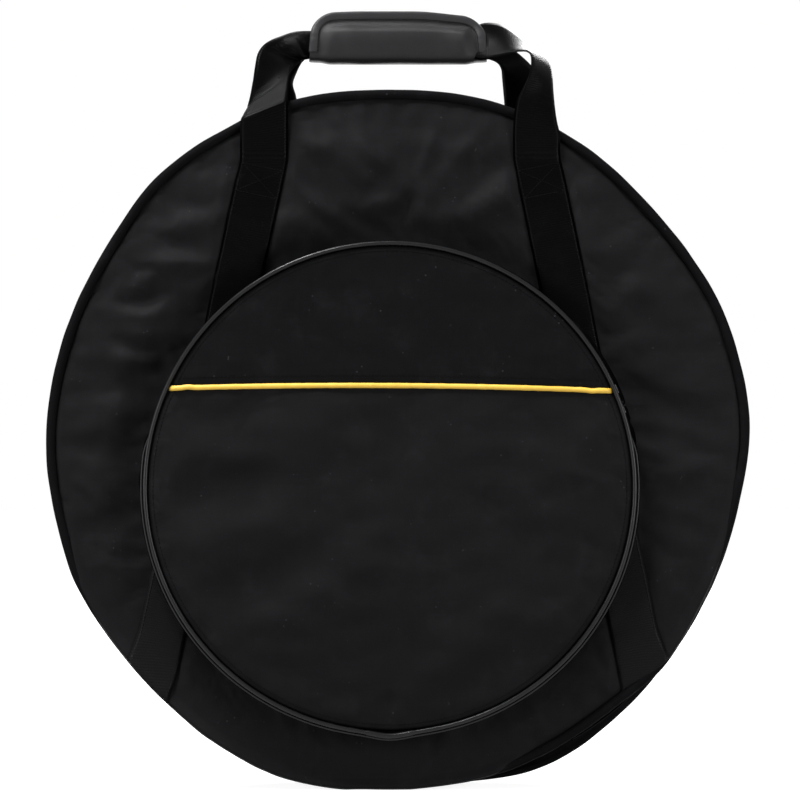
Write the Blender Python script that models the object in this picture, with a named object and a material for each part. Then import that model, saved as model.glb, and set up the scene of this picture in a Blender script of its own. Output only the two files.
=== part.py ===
"""A round padded cymbal bag with a zipped front pocket, standing on its flat bottom.

Metres, +Z up, +X to the right and the pocket towards -Y. The origin is on the floor, in the
middle of the bag's width and depth. Everything turned is measured from the bag's own axis,
which runs along Y through the middle of its round panels, and depths are counted outwards
from the plane of the main zip.
"""

import math
from collections import namedtuple

import bmesh
import bpy
from mathutils import Matrix, Vector

# Overall size of the bag, without its handles
BAG_RADIUS = 0.2955
BAG_DEPTH = 0.060
TURN_STEPS = 68
FLAT_STEPS = 2
SMOOTH_BELOW = math.radians(35)
FOLD_HEIGHT = 0.040
GAP = 0.0003

# Layers of cloth and foam
SKIN = 0.0015
PANEL_FOAM = 0.005
GUSSET_FOAM = 0.004
LINING = 0.0008
TAPE = 0.0007
PANEL_PROUD = 0.001
GUSSET_INSET = 0.0035
EDGE_PIPING_RADIUS = 0.004
PIPING_SIDES = 8

# Front pocket: its centre lies to one side of the bag's and below it
POCKET_RADIUS = 0.206
POCKET_CENTRE_X = -0.0067
POCKET_DROP = 0.036
POCKET_DEPTH = 0.0295
POCKET_CROWN = 0.008
POCKET_GUSSET_INSET = 0.0018
POCKET_GUSSET_SKIN = 0.0012
POCKET_PIPING_RADIUS = 0.0022
ACCENT_RISE = 0.0865
ACCENT_RADIUS = 0.0026
POCKET_FOLD_BELOW_ACCENT = 0.029
ACCENT_STEPS = 16
CROWN_RING_SHARES = (0.0, 0.5, 0.82, 1.0)

# Webbing and handles
WEBBING_WIDTH = 0.040
WEBBING = 0.002
STRAP_TOP_X = 0.115
STRAP_TOP_DROP = 0.057
STRAP_FOOT_ANGLE = math.radians(45.6)
HANDLE_OUTER_BEND = 0.056
HANDLE_INNER_BEND = 0.018
HANDLE_BEND_STEPS = 8
RIM_MARGIN = 0.003
BAR_HEIGHT = WEBBING_WIDTH / 2
BAR_THICKNESS = 0.0045
BAR_HALF_GAP = 0.0002

# Padded grip wrap
WRAP_LENGTH = 0.151
HAND_ROOM = 0.025
WRAP_HEIGHT = 0.044
WRAP_WALL = 0.004
WRAP_CORNER = 0.012
WRAP_CORNER_STEPS = 5
WRAP_BEND_STEPS = 4
WRAP_PINCH = 0.004
BINDING_WIDTH = 0.008
BINDING = 0.0008
STRIP_LENGTH = 0.120
STRIP = 0.0012
STRIP_MARGIN = 0.001

# Main zip: half the slit between its coils, how far its tape reaches from the middle, and
# half the slot that the cloth leaves open over it
MAIN_HALF_SLIT = 0.0009
MAIN_COIL_WIDTH = 0.0037
MAIN_COIL_HEIGHT = 0.0028
MAIN_TAPE_REACH = 0.019
MAIN_HALF_SLOT = 0.0078

# Pocket zip
POCKET_HALF_SLIT = 0.0008
POCKET_COIL_WIDTH = 0.0024
POCKET_COIL_HEIGHT = 0.0020
POCKET_TAPE_REACH = 0.010
POCKET_HALF_SLOT = 0.0056

# Main sliders and their pulls
MAIN_SLIDER_LENGTH = 0.0160
MAIN_PLATE = 0.0012
MAIN_RIM = 0.0010
MAIN_LIP = 0.0002
MAIN_POST = 0.0012
MAIN_BRIDGE_LENGTH = 0.0110
MAIN_BRIDGE_WIDTH = 0.0026
MAIN_BRIDGE_HEIGHT = 0.0035
MAIN_BRIDGE_WALL = 0.0012
MAIN_PULL_LENGTH = 0.0235
MAIN_PULL_WIDTH = 0.0080
MAIN_PULL_THICKNESS = 0.0014
MAIN_PULL_BAR = 0.0012

# Pocket slider and its pull
POCKET_SLIDER_LENGTH = 0.0115
POCKET_PLATE = 0.0009
POCKET_RIM = 0.0008
POCKET_LIP = 0.0002
POCKET_POST = 0.0010
POCKET_BRIDGE_LENGTH = 0.0080
POCKET_BRIDGE_WIDTH = 0.0020
POCKET_BRIDGE_HEIGHT = 0.0028
POCKET_BRIDGE_WALL = 0.0010
POCKET_PULL_LENGTH = 0.0190
POCKET_PULL_WIDTH = 0.0058
POCKET_PULL_THICKNESS = 0.0011
POCKET_PULL_BAR = 0.0010

SLIDER_RUN = 0.0004
SLIDER_PARKED_GAP = 0.001
SLIDER_STATION_SHARES = ((-0.5, 0.5), (-0.38, 0.8), (0.1, 1.0), (0.34, 1.5), (0.5, 1.2))
POST_SHARES = (-0.25, 0.34)
BRIDGE_SHOULDER_SHARE = 0.3
PIVOT_LIFT_SHARE = 0.32
PULL_EYE_SHARE = 0.24
PULL_SHOULDER_SHARE = 0.3
PULL_TIP_SHARE = 0.9
POCKET_SLIDER_ANGLE = math.radians(66.5)

# The sizes of one zip, and of one slider with its pull, handed on together
Zip = namedtuple("Zip", "half_slit coil_width coil_height tape_reach half_slot")
MAIN_ZIP = Zip(MAIN_HALF_SLIT, MAIN_COIL_WIDTH, MAIN_COIL_HEIGHT, MAIN_TAPE_REACH, MAIN_HALF_SLOT)
POCKET_ZIP = Zip(
    POCKET_HALF_SLIT, POCKET_COIL_WIDTH, POCKET_COIL_HEIGHT, POCKET_TAPE_REACH, POCKET_HALF_SLOT,
)
Slider = namedtuple(
    "Slider",
    "length plate rim lip post bridge_length bridge_width bridge_height bridge_wall "
    "pull_length pull_width pull_thickness bar",
)
MAIN_SLIDER = Slider(
    MAIN_SLIDER_LENGTH, MAIN_PLATE, MAIN_RIM, MAIN_LIP, MAIN_POST, MAIN_BRIDGE_LENGTH,
    MAIN_BRIDGE_WIDTH, MAIN_BRIDGE_HEIGHT, MAIN_BRIDGE_WALL, MAIN_PULL_LENGTH,
    MAIN_PULL_WIDTH, MAIN_PULL_THICKNESS, MAIN_PULL_BAR,
)
POCKET_SLIDER = Slider(
    POCKET_SLIDER_LENGTH, POCKET_PLATE, POCKET_RIM, POCKET_LIP, POCKET_POST, POCKET_BRIDGE_LENGTH,
    POCKET_BRIDGE_WIDTH, POCKET_BRIDGE_HEIGHT, POCKET_BRIDGE_WALL, POCKET_PULL_LENGTH,
    POCKET_PULL_WIDTH, POCKET_PULL_THICKNESS, POCKET_PULL_BAR,
)

# Places that follow from the sizes above
STEP_ANGLE = 2 * math.pi / TURN_STEPS
BAG_CENTRE_Z = BAG_RADIUS * math.cos(FLAT_STEPS * STEP_ANGLE)
HALF_DEPTH = BAG_DEPTH / 2
PANEL_FACE = HALF_DEPTH + PANEL_PROUD
STRAP_BACK = PANEL_FACE + GAP
PASS_OVER = HALF_DEPTH + EDGE_PIPING_RADIUS + GAP
POCKET_FACE = PANEL_FACE + POCKET_DEPTH
POCKET_HINGE_DEPTH = POCKET_FACE + POCKET_CROWN + GAP

PIPING_CENTRE_R = BAG_RADIUS - EDGE_PIPING_RADIUS
PANEL_R = PIPING_CENTRE_R - EDGE_PIPING_RADIUS - GAP
GUSSET_R = BAG_RADIUS - GUSSET_INSET
TAPE_R = GUSSET_R - SKIN - GAP
GUSSET_FOAM_R = TAPE_R - TAPE - GAP
GUSSET_LINING_R = GUSSET_FOAM_R - GUSSET_FOAM - GAP
PANEL_LINING_R = GUSSET_LINING_R - LINING - GAP
GUSSET_EDGE = HALF_DEPTH - EDGE_PIPING_RADIUS - GAP
FOAM_BACK = PANEL_FACE - SKIN - GAP - PANEL_FOAM
LINING_FACE = FOAM_BACK - GAP

POCKET_PIPING_R = POCKET_RADIUS - POCKET_PIPING_RADIUS
POCKET_FACE_R = POCKET_PIPING_R - POCKET_PIPING_RADIUS - GAP
POCKET_GUSSET_R = POCKET_RADIUS - POCKET_GUSSET_INSET
POCKET_TAPE_R = POCKET_GUSSET_R - POCKET_GUSSET_SKIN - GAP
POCKET_PIPING_DEPTH = POCKET_FACE - POCKET_PIPING_RADIUS / 2
POCKET_GUSSET_FRONT = POCKET_PIPING_DEPTH - POCKET_PIPING_RADIUS - GAP
POCKET_ZIP_DEPTH = (POCKET_GUSSET_FRONT + STRAP_BACK) / 2
POCKET_CENTRE_Z = BAG_CENTRE_Z - POCKET_DROP
ACCENT_HEIGHT = POCKET_CENTRE_Z + ACCENT_RISE
POCKET_FOLD_HEIGHT = ACCENT_HEIGHT - POCKET_FOLD_BELOW_ACCENT
ACCENT_CENTRE = POCKET_FACE + POCKET_CROWN * (1 - (ACCENT_RISE / POCKET_FACE_R) ** 2) - SKIN / 2
FRONT_REACH = ACCENT_CENTRE + ACCENT_RADIUS
REAR_REACH = PASS_OVER + WEBBING
MID_Y = (FRONT_REACH - REAR_REACH) / 2

BAG_TOP = BAG_CENTRE_Z + BAG_RADIUS
STRAP_TOP_HEIGHT = BAG_TOP - STRAP_TOP_DROP
STRAP_FOOT_X = PANEL_R * math.sin(STRAP_FOOT_ANGLE)
STRAP_FOOT_HEIGHT = BAG_CENTRE_Z - PANEL_R * math.cos(STRAP_FOOT_ANGLE)
WRAP_BOTTOM = BAG_TOP + HAND_ROOM
WRAP_TOP = WRAP_BOTTOM + WRAP_HEIGHT
BAR_BOTTOM = WRAP_BOTTOM + WRAP_WALL + GAP
BAR_TOP = BAR_BOTTOM + BAR_HEIGHT
WRAP_INNER = BAR_HALF_GAP + BAR_THICKNESS + GAP
PINCH_INNER = GAP / 2 + STRIP + GAP
LEAN_START = BAR_TOP + WRAP_WALL / 2
LEAN_END = LEAN_START + WRAP_PINCH
PANEL_TOP = WRAP_TOP - BINDING - GAP
WRAP_HALF = WRAP_LENGTH / 2 - BINDING - GAP

BAG_CENTRE = (0.0, BAG_CENTRE_Z)
POCKET_CENTRE = (POCKET_CENTRE_X, POCKET_CENTRE_Z)
FRONT = -1
REAR = 1

# Colours, as linear values, with roughness and metallic
FINISHES = {
    "shell_cloth": ((0.018, 0.018, 0.020), 0.72, 0.0),
    "webbing": ((0.012, 0.012, 0.013), 0.80, 0.0),
    "foam": ((0.10, 0.10, 0.11), 0.95, 0.0),
    "lining_cloth": ((0.035, 0.036, 0.040), 0.75, 0.0),
    "black_piping": ((0.020, 0.020, 0.022), 0.35, 0.0),
    "yellow_piping": ((0.94, 0.60, 0.07), 0.45, 0.0),
    "zip_tape": ((0.014, 0.014, 0.015), 0.85, 0.0),
    "zip_coil": ((0.022, 0.022, 0.024), 0.40, 0.0),
    "slider_metal": ((0.055, 0.055, 0.060), 0.38, 0.9),
    "hook_and_loop": ((0.016, 0.016, 0.017), 0.95, 0.0),
}


def clear_scene():
    """Remove every object that the scene starts with."""
    for item in list(bpy.data.objects):
        bpy.data.objects.remove(item)


def finish(name):
    """The named finish as a material, made on its first use."""
    if name in bpy.data.materials:
        return bpy.data.materials[name]
    colour, roughness, metallic = FINISHES[name]
    made = bpy.data.materials.new(name)
    made.use_nodes = True
    shader = made.node_tree.nodes["Principled BSDF"]
    shader.inputs["Base Color"].default_value = (*colour, 1.0)
    shader.inputs["Roughness"].default_value = roughness
    shader.inputs["Metallic"].default_value = metallic
    made.diffuse_color = (*colour, 1.0)
    return made


def mesh_from(form, name):
    """Turn a bmesh into a mesh with its faces pointing out, and free it."""
    bmesh.ops.recalc_face_normals(form, faces=form.faces[:])
    mesh = bpy.data.meshes.new(name)
    form.to_mesh(mesh)
    form.free()
    mesh.shade_smooth()
    mesh.set_sharp_from_angle(angle=SMOOTH_BELOW)
    return mesh


def world_place(item):
    """Where an unturned empty stands in the world; nothing stands at the origin."""
    place = Vector()
    while item is not None:
        place += item.location
        item = item.parent
    return place


def placed(name, data, parent, location):
    """A new object in the scene, under its parent."""
    item = bpy.data.objects.new(name, data)
    bpy.context.scene.collection.objects.link(item)
    item.parent = parent
    item.location = location
    return item


def piece(name, form, finish_name, parent=None):
    """A named object from a form in world places, with its origin on its parent's axis."""
    mesh = mesh_from(form, name)
    mesh.materials.append(finish(finish_name))
    mesh.transform(Matrix.Translation(-world_place(parent)))
    return placed(name, mesh, parent, Vector())


def pivot(name, place, turn=0.0, parent=None):
    """An empty on a joint's axis, at a place in the world and turned about Y."""
    item = placed(name, None, parent, Vector(place) - world_place(parent))
    item.rotation_euler = (0, turn, 0)
    return item


def depth(side, out):
    """World Y of a depth counted outwards from the main zip, to the front or the rear."""
    return MID_Y + side * out


def height_on_circle(radius, x):
    """World Z of the upper point of a circle about the bag's axis."""
    return BAG_CENTRE_Z + math.sqrt(radius**2 - x**2)


def turned(section, centre, side, stands=False):
    """A solid turned about an axis along Y.

    The section is a loop of (radius, depth) points, or a run from axis to axis. A form that
    stands is cut level under the bag, every layer by its own distance from the outside.
    """
    form = bmesh.new()
    rings = []
    for radius, out in section:
        if radius == 0:
            rings.append([form.verts.new((centre[0], depth(side, out), centre[1]))])
            continue
        ring = []
        for step in range(TURN_STEPS):
            angle = step * STEP_ANGLE
            z = centre[1] - radius * math.cos(angle)
            if stands:
                z = max(z, BAG_RADIUS - radius)
            ring.append(form.verts.new((centre[0] + radius * math.sin(angle), depth(side, out), z)))
        rings.append(ring)
    pairs = list(zip(rings, rings[1:]))
    if section[0][0] != 0:
        pairs.append((rings[-1], rings[0]))
    for first, second in pairs:
        for step in range(TURN_STEPS):
            after = (step + 1) % TURN_STEPS
            corners = [
                first[step % len(first)],
                first[after % len(first)],
                second[after % len(second)],
                second[step % len(second)],
            ]
            form.faces.new(list(dict.fromkeys(corners)))
    return form


def trimmed(form, low=None, high=None):
    """Keep what lies between two heights, half a gap clear of each, and close the cuts."""
    for height, keep_above in ((low, True), (high, False)):
        if height is None:
            continue
        level = height + (GAP / 2 if keep_above else -GAP / 2)
        bmesh.ops.bisect_plane(
            form,
            geom=form.verts[:] + form.edges[:] + form.faces[:],
            plane_co=(0, 0, level),
            plane_no=(0, 0, 1),
            clear_inner=keep_above,
            clear_outer=not keep_above,
        )
        rim = [edge for edge in form.edges if edge.is_boundary]
        bmesh.ops.holes_fill(form, edges=rim)
    return form


def box_section(inner, outer, near, far):
    """A rectangular section between two radii and two depths."""
    return [(outer, near), (outer, far), (inner, far), (inner, near)]


def disc_section(radius, near, far):
    """A flat disc's section, from axis to axis."""
    return [(0, near), (radius, near), (radius, far), (0, far)]


def round_section(radius, out, piping_radius):
    """A round piping's section, as a polygon whose flats touch the true circle."""
    corner_radius = piping_radius / math.cos(math.pi / PIPING_SIDES)
    section = []
    for corner in range(PIPING_SIDES):
        angle = (corner + 0.5) * 2 * math.pi / PIPING_SIDES
        section.append((radius + corner_radius * math.cos(angle), out + corner_radius * math.sin(angle)))
    return section


def prism(outline, axis, low, high):
    """An outline extruded along an axis (0, 1 or 2); its points give the other two, in order."""
    form = bmesh.new()
    ends = []
    for level in (low, high):
        end = []
        for point in outline:
            place = list(point)
            place.insert(axis, level)
            end.append(form.verts.new(place))
        ends.append(end)
    form.faces.new(ends[0])
    form.faces.new(ends[1])
    for step in range(len(outline)):
        after = (step + 1) % len(outline)
        form.faces.new((ends[0][step], ends[0][after], ends[1][after], ends[1][step]))
    return form


def loft(loops):
    """A closed body through loops that all have the same number of points."""
    form = bmesh.new()
    rows = [[form.verts.new(point) for point in loop] for loop in loops]
    count = len(rows[0])
    for first, second in zip(rows, rows[1:]):
        for step in range(count):
            after = (step + 1) % count
            form.faces.new((first[step], first[after], second[after], second[step]))
    form.faces.new(rows[0])
    form.faces.new(rows[-1])
    return form


def joined(base, tool, operation):
    """The mesh of two closed forms put together, or of one cut by the other."""
    items = []
    for form in (base, tool):
        item = bpy.data.objects.new("form", mesh_from(form, "form"))
        bpy.context.scene.collection.objects.link(item)
        items.append(item)
    change = items[0].modifiers.new("join", "BOOLEAN")
    change.operation = operation
    change.solver = "EXACT"
    change.object = items[1]
    graph = bpy.context.evaluated_depsgraph_get()
    mesh = bpy.data.meshes.new_from_object(items[0].evaluated_get(graph))
    for item in items:
        bpy.data.objects.remove(item)
    form = bmesh.new()
    form.from_mesh(mesh)
    bpy.data.meshes.remove(mesh)
    return form


# Round panels

def panel_layers():
    """Each panel layer's name, finish, radius and depths."""
    foam_face = FOAM_BACK + PANEL_FOAM
    return (
        ("panel", "shell_cloth", PANEL_R, foam_face + GAP, PANEL_FACE),
        ("panel_foam", "foam", PANEL_R, FOAM_BACK, foam_face),
        ("panel_lining", "lining_cloth", PANEL_LINING_R, LINING_FACE - LINING, LINING_FACE),
    )


def front_panel(cover):
    """The front panel's layers, parted along the line on which the unzipped cover folds."""
    for name, finish_name, radius, near, far in panel_layers():
        section = disc_section(radius, near, far)
        upper = trimmed(turned(section, BAG_CENTRE, FRONT, True), low=FOLD_HEIGHT)
        piece("front_" + name, upper, finish_name, cover)
        lower = trimmed(turned(section, BAG_CENTRE, FRONT, True), high=FOLD_HEIGHT)
        piece("front_lower_" + name, lower, finish_name)


def rear_panel():
    """The rear panel's layers, each in one piece."""
    for name, finish_name, radius, near, far in panel_layers():
        form = turned(disc_section(radius, near, far), BAG_CENTRE, REAR, True)
        piece("rear_" + name, form, finish_name)


def edge_piping(cover):
    """The thick piping round both panels."""
    section = round_section(PIPING_CENTRE_R, HALF_DEPTH, EDGE_PIPING_RADIUS)
    upper = trimmed(turned(section, BAG_CENTRE, FRONT, True), low=FOLD_HEIGHT)
    piece("front_edge_piping", upper, "shell_cloth", cover)
    lower = trimmed(turned(section, BAG_CENTRE, FRONT, True), high=FOLD_HEIGHT)
    piece("front_lower_piping", lower, "shell_cloth")
    rear = turned(section, BAG_CENTRE, REAR, True)
    piece("rear_edge_piping", rear, "shell_cloth")


# Gusset and main zip

def gusset_layers():
    """Each gusset layer's name, finish, radii and outer depth."""
    return (
        ("gusset", "shell_cloth", GUSSET_R - SKIN, GUSSET_R, GUSSET_EDGE),
        ("gusset_foam", "foam", GUSSET_FOAM_R - GUSSET_FOAM, GUSSET_FOAM_R, LINING_FACE),
        ("gusset_lining", "lining_cloth", GUSSET_LINING_R - LINING, GUSSET_LINING_R, LINING_FACE),
    )


def lower_gusset():
    """The gusset's unzipped bottom, which joins the two panels and carries the bag."""
    for name, finish_name, inner, outer, edge in gusset_layers():
        form = turned(box_section(inner, outer, -edge, edge), BAG_CENTRE, REAR, True)
        piece("lower_" + name, trimmed(form, high=FOLD_HEIGHT), finish_name)


def upper_gusset(side, prefix, parent):
    """One half of the zipped gusset, between its panel and the zip."""
    for name, finish_name, inner, outer, edge in gusset_layers():
        form = turned(box_section(inner, outer, MAIN_ZIP.half_slot, edge), BAG_CENTRE, side, True)
        piece(prefix + name, trimmed(form, low=FOLD_HEIGHT), finish_name, parent)


def coil_section(sizes, tape_radius, middle=0.0, side=1):
    """The section of one coil, standing out on both faces of the tape's free edge."""
    centre_radius = tape_radius - TAPE / 2
    near = middle + side * sizes.half_slit
    half = sizes.coil_height / 2
    return box_section(centre_radius - half, centre_radius + half, near, near + side * sizes.coil_width)


def tape_section(sizes, tape_radius, middle=0.0, side=1):
    """The section of one tape, from its coil outwards under the cloth."""
    near = middle + side * (sizes.half_slit + sizes.coil_width + GAP)
    return box_section(tape_radius - TAPE, tape_radius, near, middle + side * sizes.tape_reach)


def main_zip(side, prefix, parent):
    """One half of the main zip: tape and coil."""
    tape = turned(tape_section(MAIN_ZIP, TAPE_R), BAG_CENTRE, side, True)
    piece(prefix + "zip_tape", trimmed(tape, low=FOLD_HEIGHT), "zip_tape", parent)
    coil = turned(coil_section(MAIN_ZIP, TAPE_R), BAG_CENTRE, side, True)
    piece(prefix + "zip_coil", trimmed(coil, low=FOLD_HEIGHT), "zip_coil", parent)


# Sliders and pulls, modelled with X along the zip, Y across it and Z outwards

def plate_loops(slider, shoulder, face, inwards):
    """A slider plate's sections along the zip, with a lip along each edge of its inner face."""
    back = face - inwards * slider.plate
    lip = face + inwards * slider.lip
    loops = []
    for place_share, rim_share in SLIDER_STATION_SHARES:
        x = place_share * slider.length
        half = shoulder + slider.rim * rim_share
        profile = (
            (-half, back), (half, back), (half, lip), (shoulder, lip),
            (shoulder, face), (-shoulder, face), (-shoulder, lip), (-half, lip),
        )
        loops.append([(x, y, z) for y, z in profile])
    return loops


def post_form(slider, channel):
    """The wedge between the plates, which parts the coils."""
    tail, mouth = (share * slider.length for share in POST_SHARES)
    half = slider.post / 2
    outline = [(tail, -half / 2), (0, -half), (mouth, -half), (mouth, half), (0, half), (tail, half / 2)]
    reach = channel / 2 + slider.plate / 2
    return prism(outline, 2, -reach, reach)


def bridge_form(slider, top):
    """The arch over the top plate that holds the pull."""
    half = slider.bridge_length / 2
    inner = half - slider.bridge_wall
    crown = top + slider.bridge_height
    ceiling = crown - slider.bridge_wall
    foot = top - slider.plate / 2
    drop = BRIDGE_SHOULDER_SHARE * slider.bridge_height
    outline = [
        (-half, foot), (-half, crown - drop), (drop - half, crown), (half - drop, crown),
        (half, crown - drop), (half, foot), (inner, foot), (inner, ceiling),
        (-inner, ceiling), (-inner, foot),
    ]
    return prism(outline, 1, -slider.bridge_width / 2, slider.bridge_width / 2)


def slider_mesh(slider, sizes):
    """A zip slider: two lipped plates, the wedge between them and the bridge on top."""
    channel = sizes.coil_height + 2 * SLIDER_RUN
    shoulder = sizes.half_slit + sizes.coil_width + SLIDER_RUN
    form = loft(plate_loops(slider, shoulder, channel / 2, -1))
    form = joined(form, post_form(slider, channel), "UNION")
    form = joined(form, loft(plate_loops(slider, shoulder, -channel / 2, 1)), "UNION")
    form = joined(form, bridge_form(slider, channel / 2 + slider.plate), "UNION")
    return mesh_from(form, "slider")


def pull_pivot(slider, sizes, direction):
    """Where the pull's bar lies under the bridge, from the middle of the zip."""
    along = slider.bridge_length / 2 - slider.bridge_wall - slider.bar
    lift = PIVOT_LIFT_SHARE * slider.bridge_height
    plate_top = sizes.coil_height / 2 + SLIDER_RUN + slider.plate
    return Vector((direction * along, 0, plate_top + lift))


def pull_mesh(slider, direction):
    """A pull: a tapering tab with a window that the bridge passes through, its bar at zero."""
    start = -slider.bar / 2
    eye_end = PULL_EYE_SHARE * slider.pull_length
    neck = slider.bridge_width / 2 + slider.bar
    half = slider.pull_width / 2
    shoulder = PULL_SHOULDER_SHARE * slider.pull_length
    tip = PULL_TIP_SHARE * slider.pull_length
    upper = [(start, neck), (eye_end, neck), (shoulder, half), (tip, half), (slider.pull_length, half / 2)]
    outline = upper + [(x, -y) for x, y in reversed(upper)]
    thick = slider.pull_thickness
    tab = prism([(direction * x, y) for x, y in outline], 2, -thick / 2, thick / 2)
    window_half = slider.bridge_width / 2 + GAP
    window_start = slider.bar / 2
    window_end = eye_end - slider.bar / 2
    window = [
        (window_start, -window_half), (window_end, -window_half),
        (window_end, window_half), (window_start, window_half),
    ]
    hole = prism([(direction * x, y) for x, y in window], 2, -thick, thick)
    return mesh_from(joined(tab, hole, "DIFFERENCE"), "pull")


def slider_set(prefix, slider, sizes, axis_empty, radius, mouth, pull_direction):
    """A slider and its pull on an empty turned about the zip's centre."""
    body = slider_mesh(slider, sizes)
    body.transform(Matrix.Rotation(0 if mouth > 0 else math.pi, 4, "Z"))
    body.materials.append(finish("slider_metal"))
    item = placed(prefix + "slider", body, axis_empty, (0, 0, radius))
    tab = pull_mesh(slider, pull_direction)
    tab.materials.append(finish("slider_metal"))
    placed(prefix + "pull", tab, item, pull_pivot(slider, sizes, pull_direction))


def chain_radius(tape_radius):
    """The radius on which a slider runs, midway between the chain's corners and its flats."""
    return (tape_radius - TAPE / 2) * (1 + math.cos(STEP_ANGLE / 2)) / 2


def main_sliders():
    """The two sliders of the main zip, closed against each other at the top of the bag."""
    radius = chain_radius(TAPE_R)
    turn = (MAIN_SLIDER.length + SLIDER_PARKED_GAP) / 2 / radius
    centre = (0, MID_Y, BAG_CENTRE_Z)
    for prefix, sign in (("left_", -1), ("right_", 1)):
        empty = pivot(prefix + "slider_axis", centre, sign * turn)
        slider_set(prefix, MAIN_SLIDER, MAIN_ZIP, empty, radius, -sign, sign)


# Front pocket

def face_depth(radius):
    """Depth of the pocket face's outer surface, which swells towards its middle."""
    return POCKET_FACE + POCKET_CROWN * (1 - (radius / POCKET_FACE_R) ** 2)


def pocket_face_form():
    """The whole crowned face of the pocket, before it is parted at its seams."""
    radii = [share * POCKET_FACE_R for share in CROWN_RING_SHARES]
    outer = [(radius, face_depth(radius)) for radius in radii]
    inner = [(radius, face_depth(radius) - SKIN) for radius in reversed(radii)]
    return turned(outer + inner, POCKET_CENTRE, FRONT)


def pocket_face(cover, flap):
    """The face's three cloths: below the fold, between fold and accent, above the accent."""
    seam = ACCENT_RADIUS + GAP / 2
    parts = (
        ("pocket_lower_face", None, POCKET_FOLD_HEIGHT, cover),
        ("pocket_middle_face", POCKET_FOLD_HEIGHT, ACCENT_HEIGHT - seam, flap),
        ("pocket_upper_face", ACCENT_HEIGHT + seam, None, flap),
    )
    for name, low, high, parent in parts:
        piece(name, trimmed(pocket_face_form(), low, high), "shell_cloth", parent)


def accent_piping(flap):
    """The coloured piping across the face, following its swell from edge to edge."""
    half_length = math.sqrt((POCKET_FACE_R - ACCENT_RADIUS) ** 2 - (ACCENT_RISE + ACCENT_RADIUS) ** 2)
    loops = []
    for step in range(ACCENT_STEPS + 1):
        x = half_length * (2 * step / ACCENT_STEPS - 1)
        out = face_depth(math.hypot(x, ACCENT_RISE)) - SKIN / 2
        loop = []
        for corner in range(PIPING_SIDES):
            angle = 2 * math.pi * corner / PIPING_SIDES
            loop.append((
                POCKET_CENTRE_X + x,
                depth(FRONT, out + ACCENT_RADIUS * math.cos(angle)),
                ACCENT_HEIGHT + ACCENT_RADIUS * math.sin(angle),
            ))
        loops.append(loop)
    piece("pocket_accent_piping", loft(loops), "yellow_piping", flap)


def pocket_piping(cover, flap):
    """The glossy piping round the pocket's face."""
    section = round_section(POCKET_PIPING_R, POCKET_PIPING_DEPTH, POCKET_PIPING_RADIUS)
    upper = trimmed(turned(section, POCKET_CENTRE, FRONT), low=POCKET_FOLD_HEIGHT)
    piece("pocket_upper_piping", upper, "black_piping", flap)
    lower = trimmed(turned(section, POCKET_CENTRE, FRONT), high=POCKET_FOLD_HEIGHT)
    piece("pocket_lower_piping", lower, "black_piping", cover)


def strap_cutter(side_sign):
    """The space that a sewn strap takes under the pocket's gusset."""
    outline = strap_outline(side_sign, WEBBING_WIDTH / 2 + GAP)
    return prism_xz(outline, FRONT, STRAP_BACK - GAP, STRAP_BACK + WEBBING + GAP)


def over_straps(form):
    """Notch a pocket strip where the two sewn straps run under it."""
    for side_sign in (-1, 1):
        form = joined(form, strap_cutter(side_sign), "DIFFERENCE")
    return form


def pocket_gusset(cover, flap):
    """The pocket's sides: whole below the fold, and parted by the zip above it."""
    inner = POCKET_GUSSET_R - POCKET_GUSSET_SKIN
    near = STRAP_BACK
    far = POCKET_GUSSET_FRONT
    slot_near = POCKET_ZIP_DEPTH - POCKET_ZIP.half_slot
    slot_far = POCKET_ZIP_DEPTH + POCKET_ZIP.half_slot
    parts = (
        ("pocket_lower_gusset", near, far, None, POCKET_FOLD_HEIGHT, cover),
        ("pocket_rear_gusset", near, slot_near, POCKET_FOLD_HEIGHT, None, cover),
        ("pocket_front_gusset", slot_far, far, POCKET_FOLD_HEIGHT, None, flap),
    )
    for name, start, end, low, high, parent in parts:
        form = turned(box_section(inner, POCKET_GUSSET_R, start, end), POCKET_CENTRE, FRONT)
        form = trimmed(form, low, high)
        if start == near:
            form = over_straps(form)
        piece(name, form, "shell_cloth", parent)


def pocket_zip(cover, flap):
    """Both halves of the pocket's zip."""
    for prefix, side, parent in (("pocket_rear_", -1, cover), ("pocket_front_", 1, flap)):
        section = tape_section(POCKET_ZIP, POCKET_TAPE_R, POCKET_ZIP_DEPTH, side)
        tape = trimmed(turned(section, POCKET_CENTRE, FRONT), low=POCKET_FOLD_HEIGHT)
        piece(prefix + "zip_tape", tape, "zip_tape", parent)
        section = coil_section(POCKET_ZIP, POCKET_TAPE_R, POCKET_ZIP_DEPTH, side)
        coil = trimmed(turned(section, POCKET_CENTRE, FRONT), low=POCKET_FOLD_HEIGHT)
        piece(prefix + "zip_coil", coil, "zip_coil", parent)


def pocket_slider(cover):
    """The pocket's slider, closed at the right-hand end of its zip with its pull hanging."""
    radius = chain_radius(POCKET_TAPE_R)
    centre = (POCKET_CENTRE_X, depth(FRONT, POCKET_ZIP_DEPTH), POCKET_CENTRE_Z)
    empty = pivot("pocket_slider_axis", centre, POCKET_SLIDER_ANGLE, cover)
    slider_set("pocket_", POCKET_SLIDER, POCKET_ZIP, empty, radius, 1, 1)


# Webbing

def prism_xz(outline, side, near, far):
    """An outline in X and Z, extruded between two depths."""
    return prism(outline, 1, depth(side, near), depth(side, far))


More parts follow.
